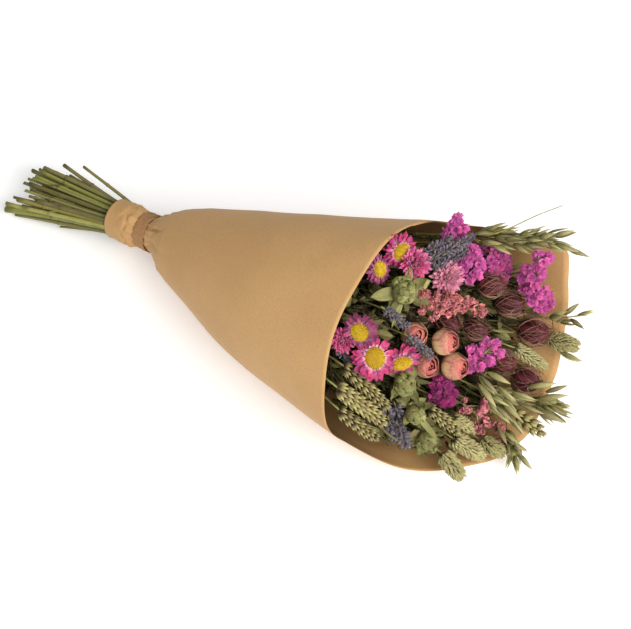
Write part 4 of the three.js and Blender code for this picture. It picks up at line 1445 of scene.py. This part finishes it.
@dataclass(frozen=True)
class WheatEar(Spike):
    """A wheat ear: fans of plump husks on either side of the stem, with short awns."""

    slot: ClassVar[str] = "wheat_ear"
    title: ClassVar[str] = "{}_husks"
    finishes: ClassVar[tuple[Finish, ...]] = (WHEAT,)
    pitch: ClassVar[float] = 4.3
    fan: ClassVar[Rows] = ((0.0, 0.56), (0.34, 0.4), (-0.34, 0.4), (0.46, 0.08), (-0.46, 0.08))

    def arrange(self, dice: Dice, bunch: Bunch) -> None:
        """Sets the fans, one side after the other."""
        centre = self.centre
        husk = Husk(10.8, 4.1, 1.8, 0.34, 1.2, keel=0.6, under=0.6, bend=0.1, sides=6, rows=6)
        awn = Thread(4, 0.2, 0.3, 0.0, 3, 3)
        rows = round((self.length - 7.0) / self.pitch)
        for k in range(rows + 1):
            t, side = k / rows, 1.0 if k % 2 else -1.0
            belly = 0.84 + 0.22 * math.sin(math.pi * clamp(0.12 + t * 0.95))
            grown = self.r / 7.4 * belly * (1.0 - 0.25 * t ** 5)
            root = Vector((0.0, side * 0.9, t * (self.length - 9.0) - 1.0))
            for toward, out in self.fan:
                way = Vector((toward, side * out, 1.0)) + dice.stray(0.08, 0.0)
                away = Vector((toward, side * out, 0.0)) + Vector((0.05, 0.0, 0.0))
                place = centre @ set_out(root + away * 2.0, way, away)
                place = place @ size(grown, grown * dice(0.92, 1.05), grown)
                bunch.place(husk, place, dice())
                if dice() < 0.5:
                    bunch.place(awn, place @ shift(0, 9.0, 0.0), dice())
        top = centre @ shift(0, 0, self.length - 10.0)
        bunch.whorl(top, husk, 4, 0.6, 0.0, 1.35, dice, scale=self.r / 8.5)
        self.stem(bunch, 0.9, (1.3, 0.8), 6, dice())


@dataclass(frozen=True)
class CanaryHead(Spike):
    """A short oval grass head of close, keeled husks."""

    slot: ClassVar[str] = "grass_head"
    title: ClassVar[str] = "{}_head"
    finishes: ClassVar[tuple[Finish, ...]] = (CANARY, SHADE)
    husks: ClassVar[int] = 270

    def arrange(self, dice: Dice, bunch: Bunch) -> None:
        """Sets the husks on a golden spiral up an egg."""
        centre, scale = self.centre, self.r / 8.5
        husk = Husk(5.8, 2.1, 0.8, 0.45, 1.1, keel=0.8, under=0.5, bend=-0.2, sides=6, rows=5)
        for k in range(self.husks):
            t = (k + 0.5) / self.husks
            belly = math.sqrt(clamp(1.0 - (2.0 * t - 0.9) ** 2 / 1.35, 0.04))
            out = polar(k * GOLDEN + dice(-0.15, 0.15))
            lean = mix(1.1, 0.5, t) + dice(-0.2, 0.2)
            root = out * (self.r * 0.42 * belly) + Vector((0, 0, t * (self.length - 5.5 * scale)))
            way = out * math.sin(lean) + dice.stray(0.1, math.cos(lean))
            bunch.place(husk, centre @ set_out(root, way, out) @ size(scale * dice(0.88, 1.1)), dice())
        # A dark core under the husks: painted shade in the gaps between them.
        shade_core = Husk(self.length * 0.9, self.r, self.r * 0.5, 0.45, 0.7, under=1.0, sides=10, rows=8, finish=1)
        bunch.place(shade_core, centre @ spin(QUARTER, "X"), 0.1)
        self.stem(bunch, 0.5, (1.6, 1.0), 8, dice())


@dataclass(frozen=True)
class OatPanicle(Spike):
    """Hanging oat spikelets, each of two long glumes round a grain, on thin bent stalks."""

    fill: float = 1.0
    strays: tuple[tuple[Spot, Spot], ...] = ()
    grass: tuple[Spot, ...] = ()
    slot: ClassVar[str] = "oat_husk"
    title: ClassVar[str] = "{}_panicle"
    finishes: ClassVar[tuple[Finish, ...]] = (OAT, STRAW)

    def arrange(self, dice: Dice, bunch: Bunch) -> None:
        """Sets the spikelets along the panicle, and those that stray from it by root and tip."""
        centre = self.centre
        turned = centre.to_3x3()
        count = max(4, round(self.length * self.fill / 3.6))
        for k in range(count):
            t = k / (count - 1)
            out = polar(k * GOLDEN + dice(-0.4, 0.4))
            lean = dice(0.08, 0.5)
            root = out * (self.r * dice(0.15, 0.85) * (1.0 - 0.4 * t))
            root.z = t * (self.length - 15.0)
            way = out * math.sin(lean) + dice.stray(0.12, math.cos(lean))
            start = Vector((0, 0, max(-3.0, root.z - 11.0)))
            self.spikelet(centre @ start, centre @ root, turned @ way, turned @ dice.stray(1.0, 0.3),
                          dice(0.82, 1.08), dice, bunch)
        for root, tip in ((Vector(a), Vector(b)) for a, b in self.strays):
            share = clamp((root - self.at).dot(self.along) / self.length - 0.2)
            start = self.at + self.along * self.length * share
            face = SHOWN + Vector([dice(-0.6, 0.6) for _ in range(3)])
            self.spikelet(start, root, tip - root, face, (tip - root).length / 22.0, dice, bunch)
        if self.grass:
            line = bowed([Vector(p) for p in self.grass], 4)
            bunch.thread(line, [0.85 - 0.04 * k for k in range(len(line))], 4, dice(), 1)
        self.stem(bunch, 0.9, (1.0, 0.4), 6, dice())

    def spikelet(self, start: Vector, root: Vector, way: Vector, face: Vector, grown: float, dice: Dice,
                 bunch: Bunch) -> None:
        """Adds one spikelet on its stalk.

        Args:
            start: where the stalk leaves the panicle.
            root: where the glumes begin.
            way: which way they point.
            face: which way the first glume faces.
            grown: their size.
            dice: the seeded draws.
            bunch: where it goes.
        """
        glume = Husk(22.0, 5.4, 1.2, 0.36, 1.15, keel=0.5, under=0.3, bend=-0.25, sides=8, rows=8)
        grain = Husk(14.0, 3.4, 1.6, 0.4, 1.0, under=0.9, sides=6, rows=6, finish=1)
        awn = Thread(16, 0.2, 0.5, 0.0, 4, 3)
        way, face = way.normalized(), face.normalized()
        bunch.thread(bowed([start, start.lerp(root, 0.7) - way * 2.0, root], 3), [0.42] * 7, 4, dice())
        for side in (1.0, -1.0):
            place = (set_out(root, way + face * side * dice(0.08, 0.36), face * side)
                     @ size(grown * dice(0.66, 1.02), grown, grown))
            bunch.place(glume, place @ shift(0, 0, 0.4), dice())
        bunch.place(grain, set_out(root, way, face) @ shift(0, 1.5, 0) @ size(grown), dice())
        if dice() < 0.25:
            bunch.place(awn, set_out(root + way * 9.0 * grown, way, face), dice())


# The planting list

def planted(kind: type, name: str, rows: Iterable[tuple]) -> list:
    """Numbers the heads of one kind.

    Args:
        kind: their class.
        name: what they are called, without the number.
        rows: each one's middle or foot, its facing or tip, its radius and then its own fields.

    Returns:
        The heads, in order.
    """
    return [kind(f"{name}_{k + 1}", Vector(at), Vector(end), *rest)
            for k, (at, end, *rest) in enumerate(rows)]


HEADS: tuple[Head, ...] = (
    *planted(PaperDaisy, "daisy", (
        ((46, 24, 208), (0.82, -0.4, 0.4), 17, DaisyKind.DISC, 0.4),
        ((62, 23, 203), (0.42, -0.43, 0.8), 16, DaisyKind.DOUBLE),
        ((39, -1, 204), (0.78, 0.04, 0.63), 14.5, DaisyKind.DUSKY, 0.35),
        ((57, -60, 193), (0.09, -0.82, 0.56), 17, DaisyKind.DUSKY, 0.3),
        ((45, -69, 180), (0.13, -0.63, 0.77), 13, DaisyKind.DOUBLE),
        ((75, -63, 169), (0.6, -0.12, 0.79), 21, DaisyKind.DISC, 0.35),
        ((93, -44, 152), (0.71, -0.7, 0.09), 19, DaisyKind.DISC, 0.45),
        ((89, 37, 186), (0.35, -0.46, 0.81), 17, DaisyKind.PALE),
    )),
    *planted(Rosebud, "rose", (
        ((114, -2, 149), (0.82, 0.02, 0.57), 11.5),
        ((129, -6, 124), (0.84, -0.12, 0.53), 12),
        ((108, -23, 131), (0.6, -0.26, 0.76), 11),
        ((87, -13, 151), (0.42, -0.42, 0.81), 12),
    )),
    *planted(SeedPod, "nigella", (
        ((164, 93, 85), (0.84, 0.05, 0.54), 16),
        ((179, 62, 48), (0.91, -0.08, 0.42), 15),
        ((137, 84, 123), (0.86, 0.22, 0.46), 14),
        ((155, 50, 78), (0.9, 0.08, 0.44), 13),
        ((105, 19, 145), (0.82, -0.25, 0.51), 12),
        ((119, 72, 156), (0.82, 0.26, 0.51), 13),
        ((123, 42, 121), (0.88, 0.07, 0.48), 12),
    )),
    *planted(LeafyBud, "bud", (
        ((69, -6, 200), (0.21, -0.58, 0.79), 17, (
         ((45, -35, 204), 12.0), ((66, -32, 186), 6.0), ((74, -36, 178), 5.0), ((60, 18, 204), 8.0))),
        ((103, -52, 132), (0.61, -0.52, 0.6), 15, (
         ((101, -72, 132), 7.0), ((124, -58, 126), 9.0), ((124, -37, 135), 5.0))),
        ((120, -59, 103), (0.64, -0.57, 0.51), 13, (
         ((117, -77, 102), 7.0), ((150, -62, 86), 6.0), ((131, -41, 111), 7.0))),
        ((137, -59, 66), (0.77, -0.56, 0.29), 14, (
         ((140, -80, 66), 7.0), ((153, -53, 66), 8.0), ((142, -44, 82), 6.0))),
    )),
    *planted(LavenderSpike, "lavender", (
        ((69, 31, 202), (91, 79, 204), 6.5, (69, 44, 188),
         ((2.0, 0.0, 0.0, 1.0), (-3.0, 8.5, 4.0, 0.75), (-2.0, -7.0, -2.0, 0.7))),
        ((62, -28, 193), (86, -23, 175), 6.5),
        ((87, -27, 169), (113, -22, 148), 6.5),
        ((43, -73, 167), (69, -67, 148), 6),
        ((94, -63, 108), (124, -75, 65), 8.5, None,
         ((2.0, 0.0, 26.0, 0.5), (-1.0, 6.0, 18.0, 0.5), (0.0, -4.0, 6.0, 0.4), (-3.0, 4.0, 0.0, 0.3))),
    )),
    *planted(StaticeSpray, "statice", (
        ((70, 68, 190), (73, 85, 210), 7, None, 2.4),
        ((100, 58, 166), (86, 75, 190), 15, None, 1.9),
        ((118, 88, 143), (101, 96, 172), 15, None, 1.9),
        ((155, 104, 104), (151, 88, 212), 10, None, 1.0, 8.0),
        ((133, 14, 108), (148, 50, 103), 12, None, 1.3),
        ((125, -34, 106), (133, -16, 106), 13, None, 2.2, 0.0, True),
    )),
    *planted(CoralSpray, "coral", (
        ((93, 8, 174), (123, 50, 146), 10, None, 1.0, 0.0, (
         (0.1, -5, 5, 1.0), (0.23, -11, 6, 0.85), (0.35, -5, 6, 1.0), (0.51, -2, 5, 0.8),
         (0.67, -4, 5, 1.0), (0.92, 2, 4, 0.7), (0.25, 2, 3, 0.7), (-0.02, 5, 2, 0.65),
         (-0.18, -11, -2, 0.9), (-0.07, -2, -3, 0.8), (-0.19, 0, -4, 0.6), (-0.01, -8, 0, 0.8))),
        ((147, -10, 75), (177, 13, 22), 10, None, 1.0, 0.0, (
         (0.13, -7, 8, 1.15), (0.0, 2, 2, 0.75), (0.53, 4, 6, 0.85), (0.88, 0, 6, 1.0), (1.2, 7, 6, 0.6))),
    )),
    *planted(WheatEar, "wheat", (
        ((55, -82, 163), (101, -71, 111), 6.6),
        ((60, -100, 156), (105, -83, 105), 8.2),
        ((66, -105, 128), (103, -91, 82), 6.4),
        ((188, 24, 46), (225, 22, 43), 8),
        ((126, -43, 98), (157, -29, 55), 6),
    )),
    *planted(CanaryHead, "canary", (
        ((157, 69, 81), (190, 85, 51), 8.5),
        ((178, 103, 71), (210, 106, 80), 10.5),
        ((150, -50, 42), (180, -58, 30), 10.5),
        ((151, -33, 47), (182, -18, 14), 11),
        ((171, -6, 20), (199, -8, 22), 10.5),
        ((143, -24, 66), (164, -7, 35), 8.5),
    )),
    *planted(OatPanicle, "oat", (
        ((87, 90, 188), (171, 110, 219), 10, None, 1.3,
         (((163, 129, 183), (185, 135, 178)),),
         ((96, 88, 197), (113, 93, 213), (131, 117, 222), (146, 137, 226))),
        ((173, 112, 92), (206, 119, 118), 7, None, 0.45,
         (((194, 97, 69), (218, 105, 60)), ((178, 110, 93), (190, 121, 95)))),
        ((154, 16, 71), (186, 44, 28), 14, None, 1.6,
         (((147, 15, 95), (170, 15, 79)), ((151, 21, 97), (174, 30, 83)),
         ((149, 10, 89), (173, 7, 69)), ((164, 22, 81), (186, 25, 67)),
         ((170, 20, 67), (197, 21, 49)), ((177, 32, 67), (200, 41, 57)))),
        ((193, 58, 31), (231, 57, 37), 13, None, 1.8,
         (((186, 50, 59), (206, 71, 55)), ((199, 49, 49), (223, 69, 44)),
         ((187, 34, 50), (212, 43, 41)), ((202, 42, 42), (231, 54, 31)),
         ((201, 61, 48), (216, 79, 51)))),
        ((188, 14, 22), (219, -15, 26), 8, None, 0.8,
         (((188, 6, 37), (206, 6, 28)), ((200, 1, 28), (214, -12, 14)),
         ((194, 3, 31), (216, 6, 25)), ((180, 4, 44), (197, -3, 32)),
         ((168, 12, 64), (191, 11, 49)), ((160, 11, 66), (181, 10, 54)),
         ((183, 18, 50), (205, 15, 33)))),
    )),
)


# Stems

@dataclass
class StemBundle:
    """Every stem, from its cut end through its own place in the neck to its head."""

    seed: int = 11
    look_seed: int = 5
    loose_seed: int = 31
    apart: float = 3.0
    neck_radius: float = 12.2
    rounds: int = 400
    station: float = 30.0
    tail: float = 170.0
    drift: float = 15.0
    lift: float = 9.0
    sides: int = 9
    joint_steps: tuple = (0.0, 1.2, 2.4, 3.6)
    cut_shares: tuple = (1.0, 0.93, 0.8, 0.66, 0.5, 0.34, 0.2, 0.08)
    loose_count: int = 12
    loose: tuple = ((173, -49, 5, 3.8), (166, -45, -4, 2.2), (163, -31, 6, 0.8), (149, -17, 8, 0.9),
                    (151, -37, 4, 2.0), (164, -12, 10, 1.6), (164, 7, 20, 2.0), (152, 14, 16, 1.8),
                    (138, 22, 24, 2.3), (119, 33, 19, 1.8), (136, 22, 8, 2.2), (143, -37, -8, 1.5),
                    (112, -32, -12, 1.3), (122, -28, 0, 2.4))

    def places(self) -> list[tuple[float, float]]:
        """Each stem's place in the neck, kept in the order of the heads."""
        spots = []
        for head in HEADS:
            q = head.bend() - TIE
            share = self.station / q.dot(AXIS)
            spots.append([q.dot(SIDE) * share, q.dot(LIFT) * share])
        for _ in range(self.rounds):
            for i, p in enumerate(spots):
                for j, q in enumerate(spots):
                    across, up = q[0] - p[0], q[1] - p[1]
                    if i == j or abs(across) >= self.apart or abs(up) >= self.apart:
                        continue
                    gap = math.hypot(across, up) or 0.01
                    if gap >= self.apart:
                        continue
                    push = (self.apart - gap) / gap * 0.25
                    p[0], p[1] = p[0] - across * push, p[1] - up * push
                    q[0], q[1] = q[0] + across * push, q[1] + up * push
                far = math.hypot(*p)
                if far > self.neck_radius:
                    p[0], p[1] = p[0] * self.neck_radius / far, p[1] * self.neck_radius / far
        return [tuple(p) for p in spots]

    def fan(self, a: float, b: float, s: float) -> Vector:
        """A point of a stem's cut end, s behind the neck, from its place across and up in the neck."""
        rise = b * (1.0 + s / (330.0 if b < 0 else 190.0)) + self.lift * (s / self.tail) ** 2
        across = a * (1.0 + s / 85.0) - self.drift * (s / self.tail) ** 1.5
        return axial(-s, across, rise)

    def build(self) -> None:
        """Sweeps the stems and adds their joints, sheaths and leaf scraps."""
        dice, extra, bunch = Dice(self.seed), Dice(self.look_seed), Bunch()
        sheath = Blade(34, 7, 0.8, 0.3, 0.9, cup=0.5, bend=0.25, wave=0.03, rows=8, finish=1)
        scrap = Blade(26, 4.5, 0.6, 0.4, 1.0, cup=0.3, bend=0.8, wave=0.08, twist=1.2, rows=8, finish=2)
        for head, (a, b) in zip(HEADS, self.places()):
            thick, tail = dice(1.4, 1.9), dice(128, 175)
            kind = 0 if isinstance(head, (WheatEar, CanaryHead, OatPanicle)) else 1 + int(extra() < 0.35)
            lot, bow = extra(), extra(-4.0, 4.0)
            points = [self.fan(a, b, tail * t) + LIFT * (bow * math.sin(math.pi * t))
                      for t in self.cut_shares]
            wide = thick * extra(0.8, 1.75)
            radii = [wide * 1.05, wide, wide * 0.98, wide, wide * 0.97, thick, 1.4, 1.3]
            foot, along = head.foot()
            end = foot - along * SEAT * 0.2
            neck, bend = axial(7.0, a, b), head.bend()
            points += interpolate_bezier(neck, neck.lerp(bend, 0.55), bend.lerp(neck, 0.04), end, 12)
            radii += [1.25] * 6 + [1.2, 1.15, 1.1, 1.0, 0.9, 0.8]
            stem = sweep(points, radii, self.sides, extra(-0.6, 0.6), 1.6 if kind == 0 else 0.0)
            bunch.add(stem, lot, kind)
            if extra() < 0.75:
                self.joint(bunch, points[2], points[3], wide, kind, lot)
            if extra() < 0.65:
                at, way = points[1].lerp(points[2], extra()), (points[4] - points[1]).normalized()
                place = stand(at, way, extra(0, 6)) @ shift(0, wide * 0.8, 0) @ spin(1.45, "X")
                bunch.place(sheath if extra() < 0.6 else scrap, place, extra())
        self.offcuts(bunch, Dice(self.loose_seed))
        bunch.finish("stem_bundle", "dry_stems", (STRAW, OLIVE, BROWN), ("stems",))

    def offcuts(self, bunch: Bunch, dice: Dice) -> None:
        """Adds the stems that bear no head: they end inside the neck."""
        rows = self.loose + tuple((dice(95, 160), dice(-38, 26), dice(-8, 18), dice(1.1, 2.4))
                                  for _ in range(self.loose_count))
        for s, across, rise, wide in rows:
            a, b = across * 0.24 + 1.5, rise * 0.3
            bow = Vector((0.0, dice(-3, 3), dice(-2.5, 2.5)))
            tip = axial(-s, across, rise)
            tip.z = max(tip.z, wide + 0.6)
            middle = axial(-0.42 * s, mix(a, across, 0.38), mix(b, rise, 0.42)) + bow
            line = bowed([tip, middle, axial(4.0, a, b)], 6)
            radii = [wide * mix(1.0, 1.1 if k == 3 else 0.92, math.sin(k)) for k in range(len(line))]
            radii[-4:] = [wide * share for share in (0.8, 0.7, 0.6, 0.5)]
            kind, lot = int(dice(0, 2.99)), dice()
            stem = sweep(line, radii, self.sides, dice(-0.7, 0.7), 1.8 if wide > 2.0 else 0.0)
            bunch.add(stem, lot, kind)
            if wide > 1.6:
                self.joint(bunch, line[3], line[4], wide, kind, lot)

    def joint(self, bunch: Bunch, a: Vector, b: Vector, wide: float, kind: int, lot: float) -> None:
        """Adds the swollen joint of a stem between two points."""
        along = (b - a).normalized()
        points = [a + along * d for d in self.joint_steps]
        radii = [wide * share for share in (0.9, 1.25, 1.2, 0.9)]
        bunch.thread(points, radii, self.sides, lot * 0.5, kind)


# What fills the cone between the heads

@dataclass
class Undergrowth:
    """Thread-like leaves, small leaves and thin stalks that stand between and below the heads."""

    seed: int = 23
    mouth: float = 415.0
    floor: float = 3.0
    paper: PaperWrap = field(default_factory=PaperWrap)

    def inside(self, p: Vector, margin: float) -> bool:
        """Whether a point is in the cone, clear of the paper and the floor, and not past the mouth."""
        return self.paper.room(p) > margin and p.z > self.floor and (p - TIE).dot(AXIS) < self.mouth

    def hides(self, p: Vector) -> bool:
        """Whether a point stands before a head, seen from the shown side."""
        for head in HEADS:
            long = isinstance(head, Spike)
            share = clamp((p - head.at).dot(head.along) / head.length) if long else 0.0
            away = p - (head.at.lerp(head.faces, share) if long else head.at)
            front = away.dot(SHOWN)
            if front > -0.35 * head.r and (away - SHOWN * front).length < head.r * 1.12:
                return True
        return False

    def spots(self, dice: Dice, count: int, low: float, high: float, wide: float,
              reach: float, margin: float) -> Iterable[tuple[Vector, Vector]]:
        """Roots below the heads and the way that each grows.

        Args:
            dice: the seeded draws.
            count: how many are tried under each head.
            low: the least depth below the head.
            high: the greatest depth.
            wide: how far to the side.
            reach: how far the plant will reach from its root.
            margin: how far from the paper it stays.

        Yields:
            Each root that stays inside the cone and clear of the heads, and its direction.
        """
        for head in HEADS:
            for _ in range(count):
                middle = head.at.lerp(head.faces, dice()) if isinstance(head, Spike) else head.at
                out = (middle - TIE).normalized()
                side = dice.way()
                side -= SHOWN * side.dot(SHOWN)
                root = middle - SHOWN * dice(low, high) - out * reach * 0.8 + side * wide
                way = (out + side * 0.35 + SHOWN * dice(-0.1, 0.35)).normalized()
                line = [root + way * reach * k for k in (0.0, 0.35, 0.7, 1.0)]
                if all(self.inside(p, margin) and not self.hides(p) for p in line):
                    yield root, way

    def build(self) -> None:
        """Scatters the kinds of filling under every head."""
        for k, scatter in enumerate((self.threads, self.leaves, self.shade_fill)):
            scatter(Dice(self.seed + k))

    def threads(self, dice: Dice) -> None:
        """Branched thread leaves, dark olive: partly their own colour, partly painted shade between the
        heads.
        """
        bunch = Bunch()
        kinds = [Thread(length, 0.32, bend, sway, 4, 3) for length, bend, sway in
                 ((15, 0.9, 0.05), (12, 1.3, -0.06), (10, 1.7, 0.04), (8, -1.2, 0.0))]
        for root, way in self.spots(dice, count=22, low=6, high=26, wide=20.0, reach=32.0, margin=11.0):
            centre = stand(root, way, dice(0, 6))
            for k in range(8):
                place = (centre @ shift(0, 0, k * dice(2.0, 3.4)) @ spin(k * GOLDEN)
                         @ spin(dice(0.6, 1.35), "X"))
                bunch.place(kinds[int(dice(0, 3.99))], place, dice())
            stalk = [root + way * along for along in (-8.0, 10.0, 22.0)]
            bunch.thread(stalk, (0.5, 0.45, 0.3), 4, dice())
        bunch.finish("thread_leaves", "green_bract", (SHADE,))

    def leaves(self, dice: Dice) -> None:
        """Curled leaves of several widths."""
        kinds = (Blade(20, 6.5, 0.3, 0.45, 0.9, cup=0.22, bend=0.9, wave=0.06, twist=0.5, columns=2, rows=5),
                 Blade(26, 3.4, 0.5, 0.4, 1.0, cup=0.3, bend=0.6, wave=0.04, twist=0.8, columns=2, rows=5),
                 Blade(15, 7.5, 0.3, 0.5, 0.8, cup=0.2, bend=-1.0, wave=0.08, twist=-0.4, columns=2, rows=5))
        bunch = Bunch()
        for root, way in self.spots(dice, count=26, low=3, high=18, wide=20.0, reach=24.0, margin=12.0):
            self.leaf(root, way, kinds, 0.9, dice, bunch)
        bunch.finish("small_leaves", "green_bract", (DULL,))

    def shade_fill(self, dice: Dice) -> None:
        """Broad leaves, dark as painted shade, set deep between the stems."""
        kinds = (Blade(26, 11.0, 0.3, 0.45, 0.8, cup=0.2, bend=0.7, wave=0.08, twist=0.5, columns=2, rows=5),
                 Blade(20, 9.0, 0.3, 0.5, 0.8, cup=0.2, bend=-0.9, wave=0.1, twist=-0.6, columns=2, rows=5))
        bunch = Bunch()
        for root, way in self.spots(dice, count=40, low=22, high=44, wide=24.0, reach=26.0, margin=22.0):
            self.leaf(root, way, kinds, 0.5, dice, bunch)
        bunch.finish("painted_shade_leaves", "green_bract", (PAINTED_SHADE_LEAF,))

    def leaf(self, root: Vector, way: Vector, kinds: Sequence[Blade], low: float, dice: Dice,
             bunch: Bunch) -> None:
        """Adds one leaf, unless its tip would come near the paper.

        Args:
            root: where it starts.
            way: which way its stalk runs.
            kinds: the leaves to choose from.
            low: the least lift from the stalk's flat, in radians.
            dice: the seeded draws.
            bunch: where it goes.
        """
        place = stand(root, way, dice(0, 6)) @ spin(dice(low, 1.5), "X") @ size(dice(0.75, 1.1))
        kind, lot = kinds[int(dice(0, len(kinds) - 0.01))], dice()
        if self.inside(place @ Vector((0.0, kind.length, 0.0)), 14.0):
            bunch.place(kind, place, lot)


# The studio

@dataclass
class Studio:
    """A pale floor, soft lights and the camera. Lengths are in millimetres."""

    aim: Vector = field(default_factory=lambda: Vector((-34.6, 6.0, 55.0)))
    round_: float = 34.0
    above: float = 57.5
    away: float = 1250.0
    lens: float = 70.14
    sensor: float = 36.0
    clip: tuple[float, float] = (0.05, 20.0)
    floor_size: float = 6000.0
    floor_tone: float = 0.93
    glow: float = 0.23
    sky: float = 0.4
    lamps: tuple = (("key", 62.0, 42.0, 1500.0, 700.0, 14.2, (1.0, 0.97, 0.93)),
                    ("fill", -40.0, 50.0, 1800.0, 1400.0, 6.0, (0.95, 0.97, 1.0)),
                    ("mouth", 92.0, 38.0, 1500.0, 500.0, 6.0, (1.0, 0.98, 0.95)),
                    ("top", 96.0, 60.0, 1700.0, 1000.0, 5.6, (1.0, 0.99, 0.97)))

    def way(self, round_: float, above: float) -> Vector:
        """The direction of a place round and above the middle, in degrees."""
        a, e = math.radians(round_), math.radians(above)
        return Vector((math.sin(a) * math.cos(e), -math.cos(a) * math.cos(e), math.sin(e)))

    def floor(self) -> None:
        """A plain, flat, faintly glowing sheet."""
        bm = fresh()
        bmesh.ops.create_grid(bm, x_segments=2, y_segments=2, size=self.floor_size * MM / 2)
        mesh = bpy.data.meshes.new("floor")
        bm.to_mesh(mesh)
        bm.free()
        made = bpy.data.materials.new("floor")
        made.use_nodes = True
        shader = made.node_tree.nodes["Principled BSDF"]
        shader.inputs["Base Color"].default_value = (*[self.floor_tone] * 3, 1.0)
        shader.inputs["Roughness"].default_value = 0.9
        shader.inputs["Emission Color"].default_value = (1.0, 1.0, 1.0, 1.0)
        shader.inputs["Emission Strength"].default_value = self.glow
        mesh.materials.append(made)
        floor = bpy.data.objects.new("floor", mesh)
        bpy.context.scene.collection.objects.link(floor)

    def light(self, name: str, round_: float, above: float, away: float, wide: float, power: float,
              tone: tuple[float, float, float]) -> None:
        """Adds one soft square light, aimed at the middle.

        Args:
            name: its name.
            round_: where it stands round the object, in degrees.
            above: how high it stands, in degrees.
            away: how far.
            wide: its side.
            power: its power in watts.
            tone: its colour.
        """
        lamp = bpy.data.lights.new(name, "AREA")
        lamp.size, lamp.energy, lamp.color = wide * MM, power, tone
        held = bpy.data.objects.new(name, lamp)
        way = self.way(round_, above)
        held.location = (self.aim + way * away) * MM
        held.rotation_euler = way.to_track_quat("Z", "Y").to_euler()
        bpy.context.scene.collection.objects.link(held)

    def build(self) -> None:
        """Sets the floor, the lights, the sky and the camera."""
        scene = bpy.context.scene
        self.floor()
        for lamp in self.lamps:
            self.light(*lamp)
        world = bpy.data.worlds.new("studio")
        world.use_nodes = True
        back = world.node_tree.nodes["Background"]
        back.inputs["Color"].default_value = (1.0, 1.0, 1.0, 1.0)
        back.inputs["Strength"].default_value = self.sky
        scene.world = world
        scene.view_settings.view_transform = "Standard"
        camera = bpy.data.cameras.new("camera")
        camera.lens, camera.sensor_width = self.lens, self.sensor
        camera.clip_start, camera.clip_end = self.clip
        held = bpy.data.objects.new("camera", camera)
        way = self.way(self.round_, self.above)
        held.location = (self.aim + way * self.away) * MM
        held.rotation_euler = (QUARTER - math.radians(self.above), 0.0, math.radians(self.round_))
        scene.collection.objects.link(held)
        scene.camera = held


def main() -> None:
    """Builds every part of the bouquet and the studio."""
    logging.basicConfig(level=logging.INFO, format="%(message)s")
    Studio().build()
    PaperWrap().build()
    NeckTie().build()
    StemBundle().build()
    for head in HEADS:
        head.build()
    Undergrowth().build()
    for shape in Shape.stock.values():
        bpy.data.meshes.remove(shape.mesh)


if __name__ == "__main__":
    main()
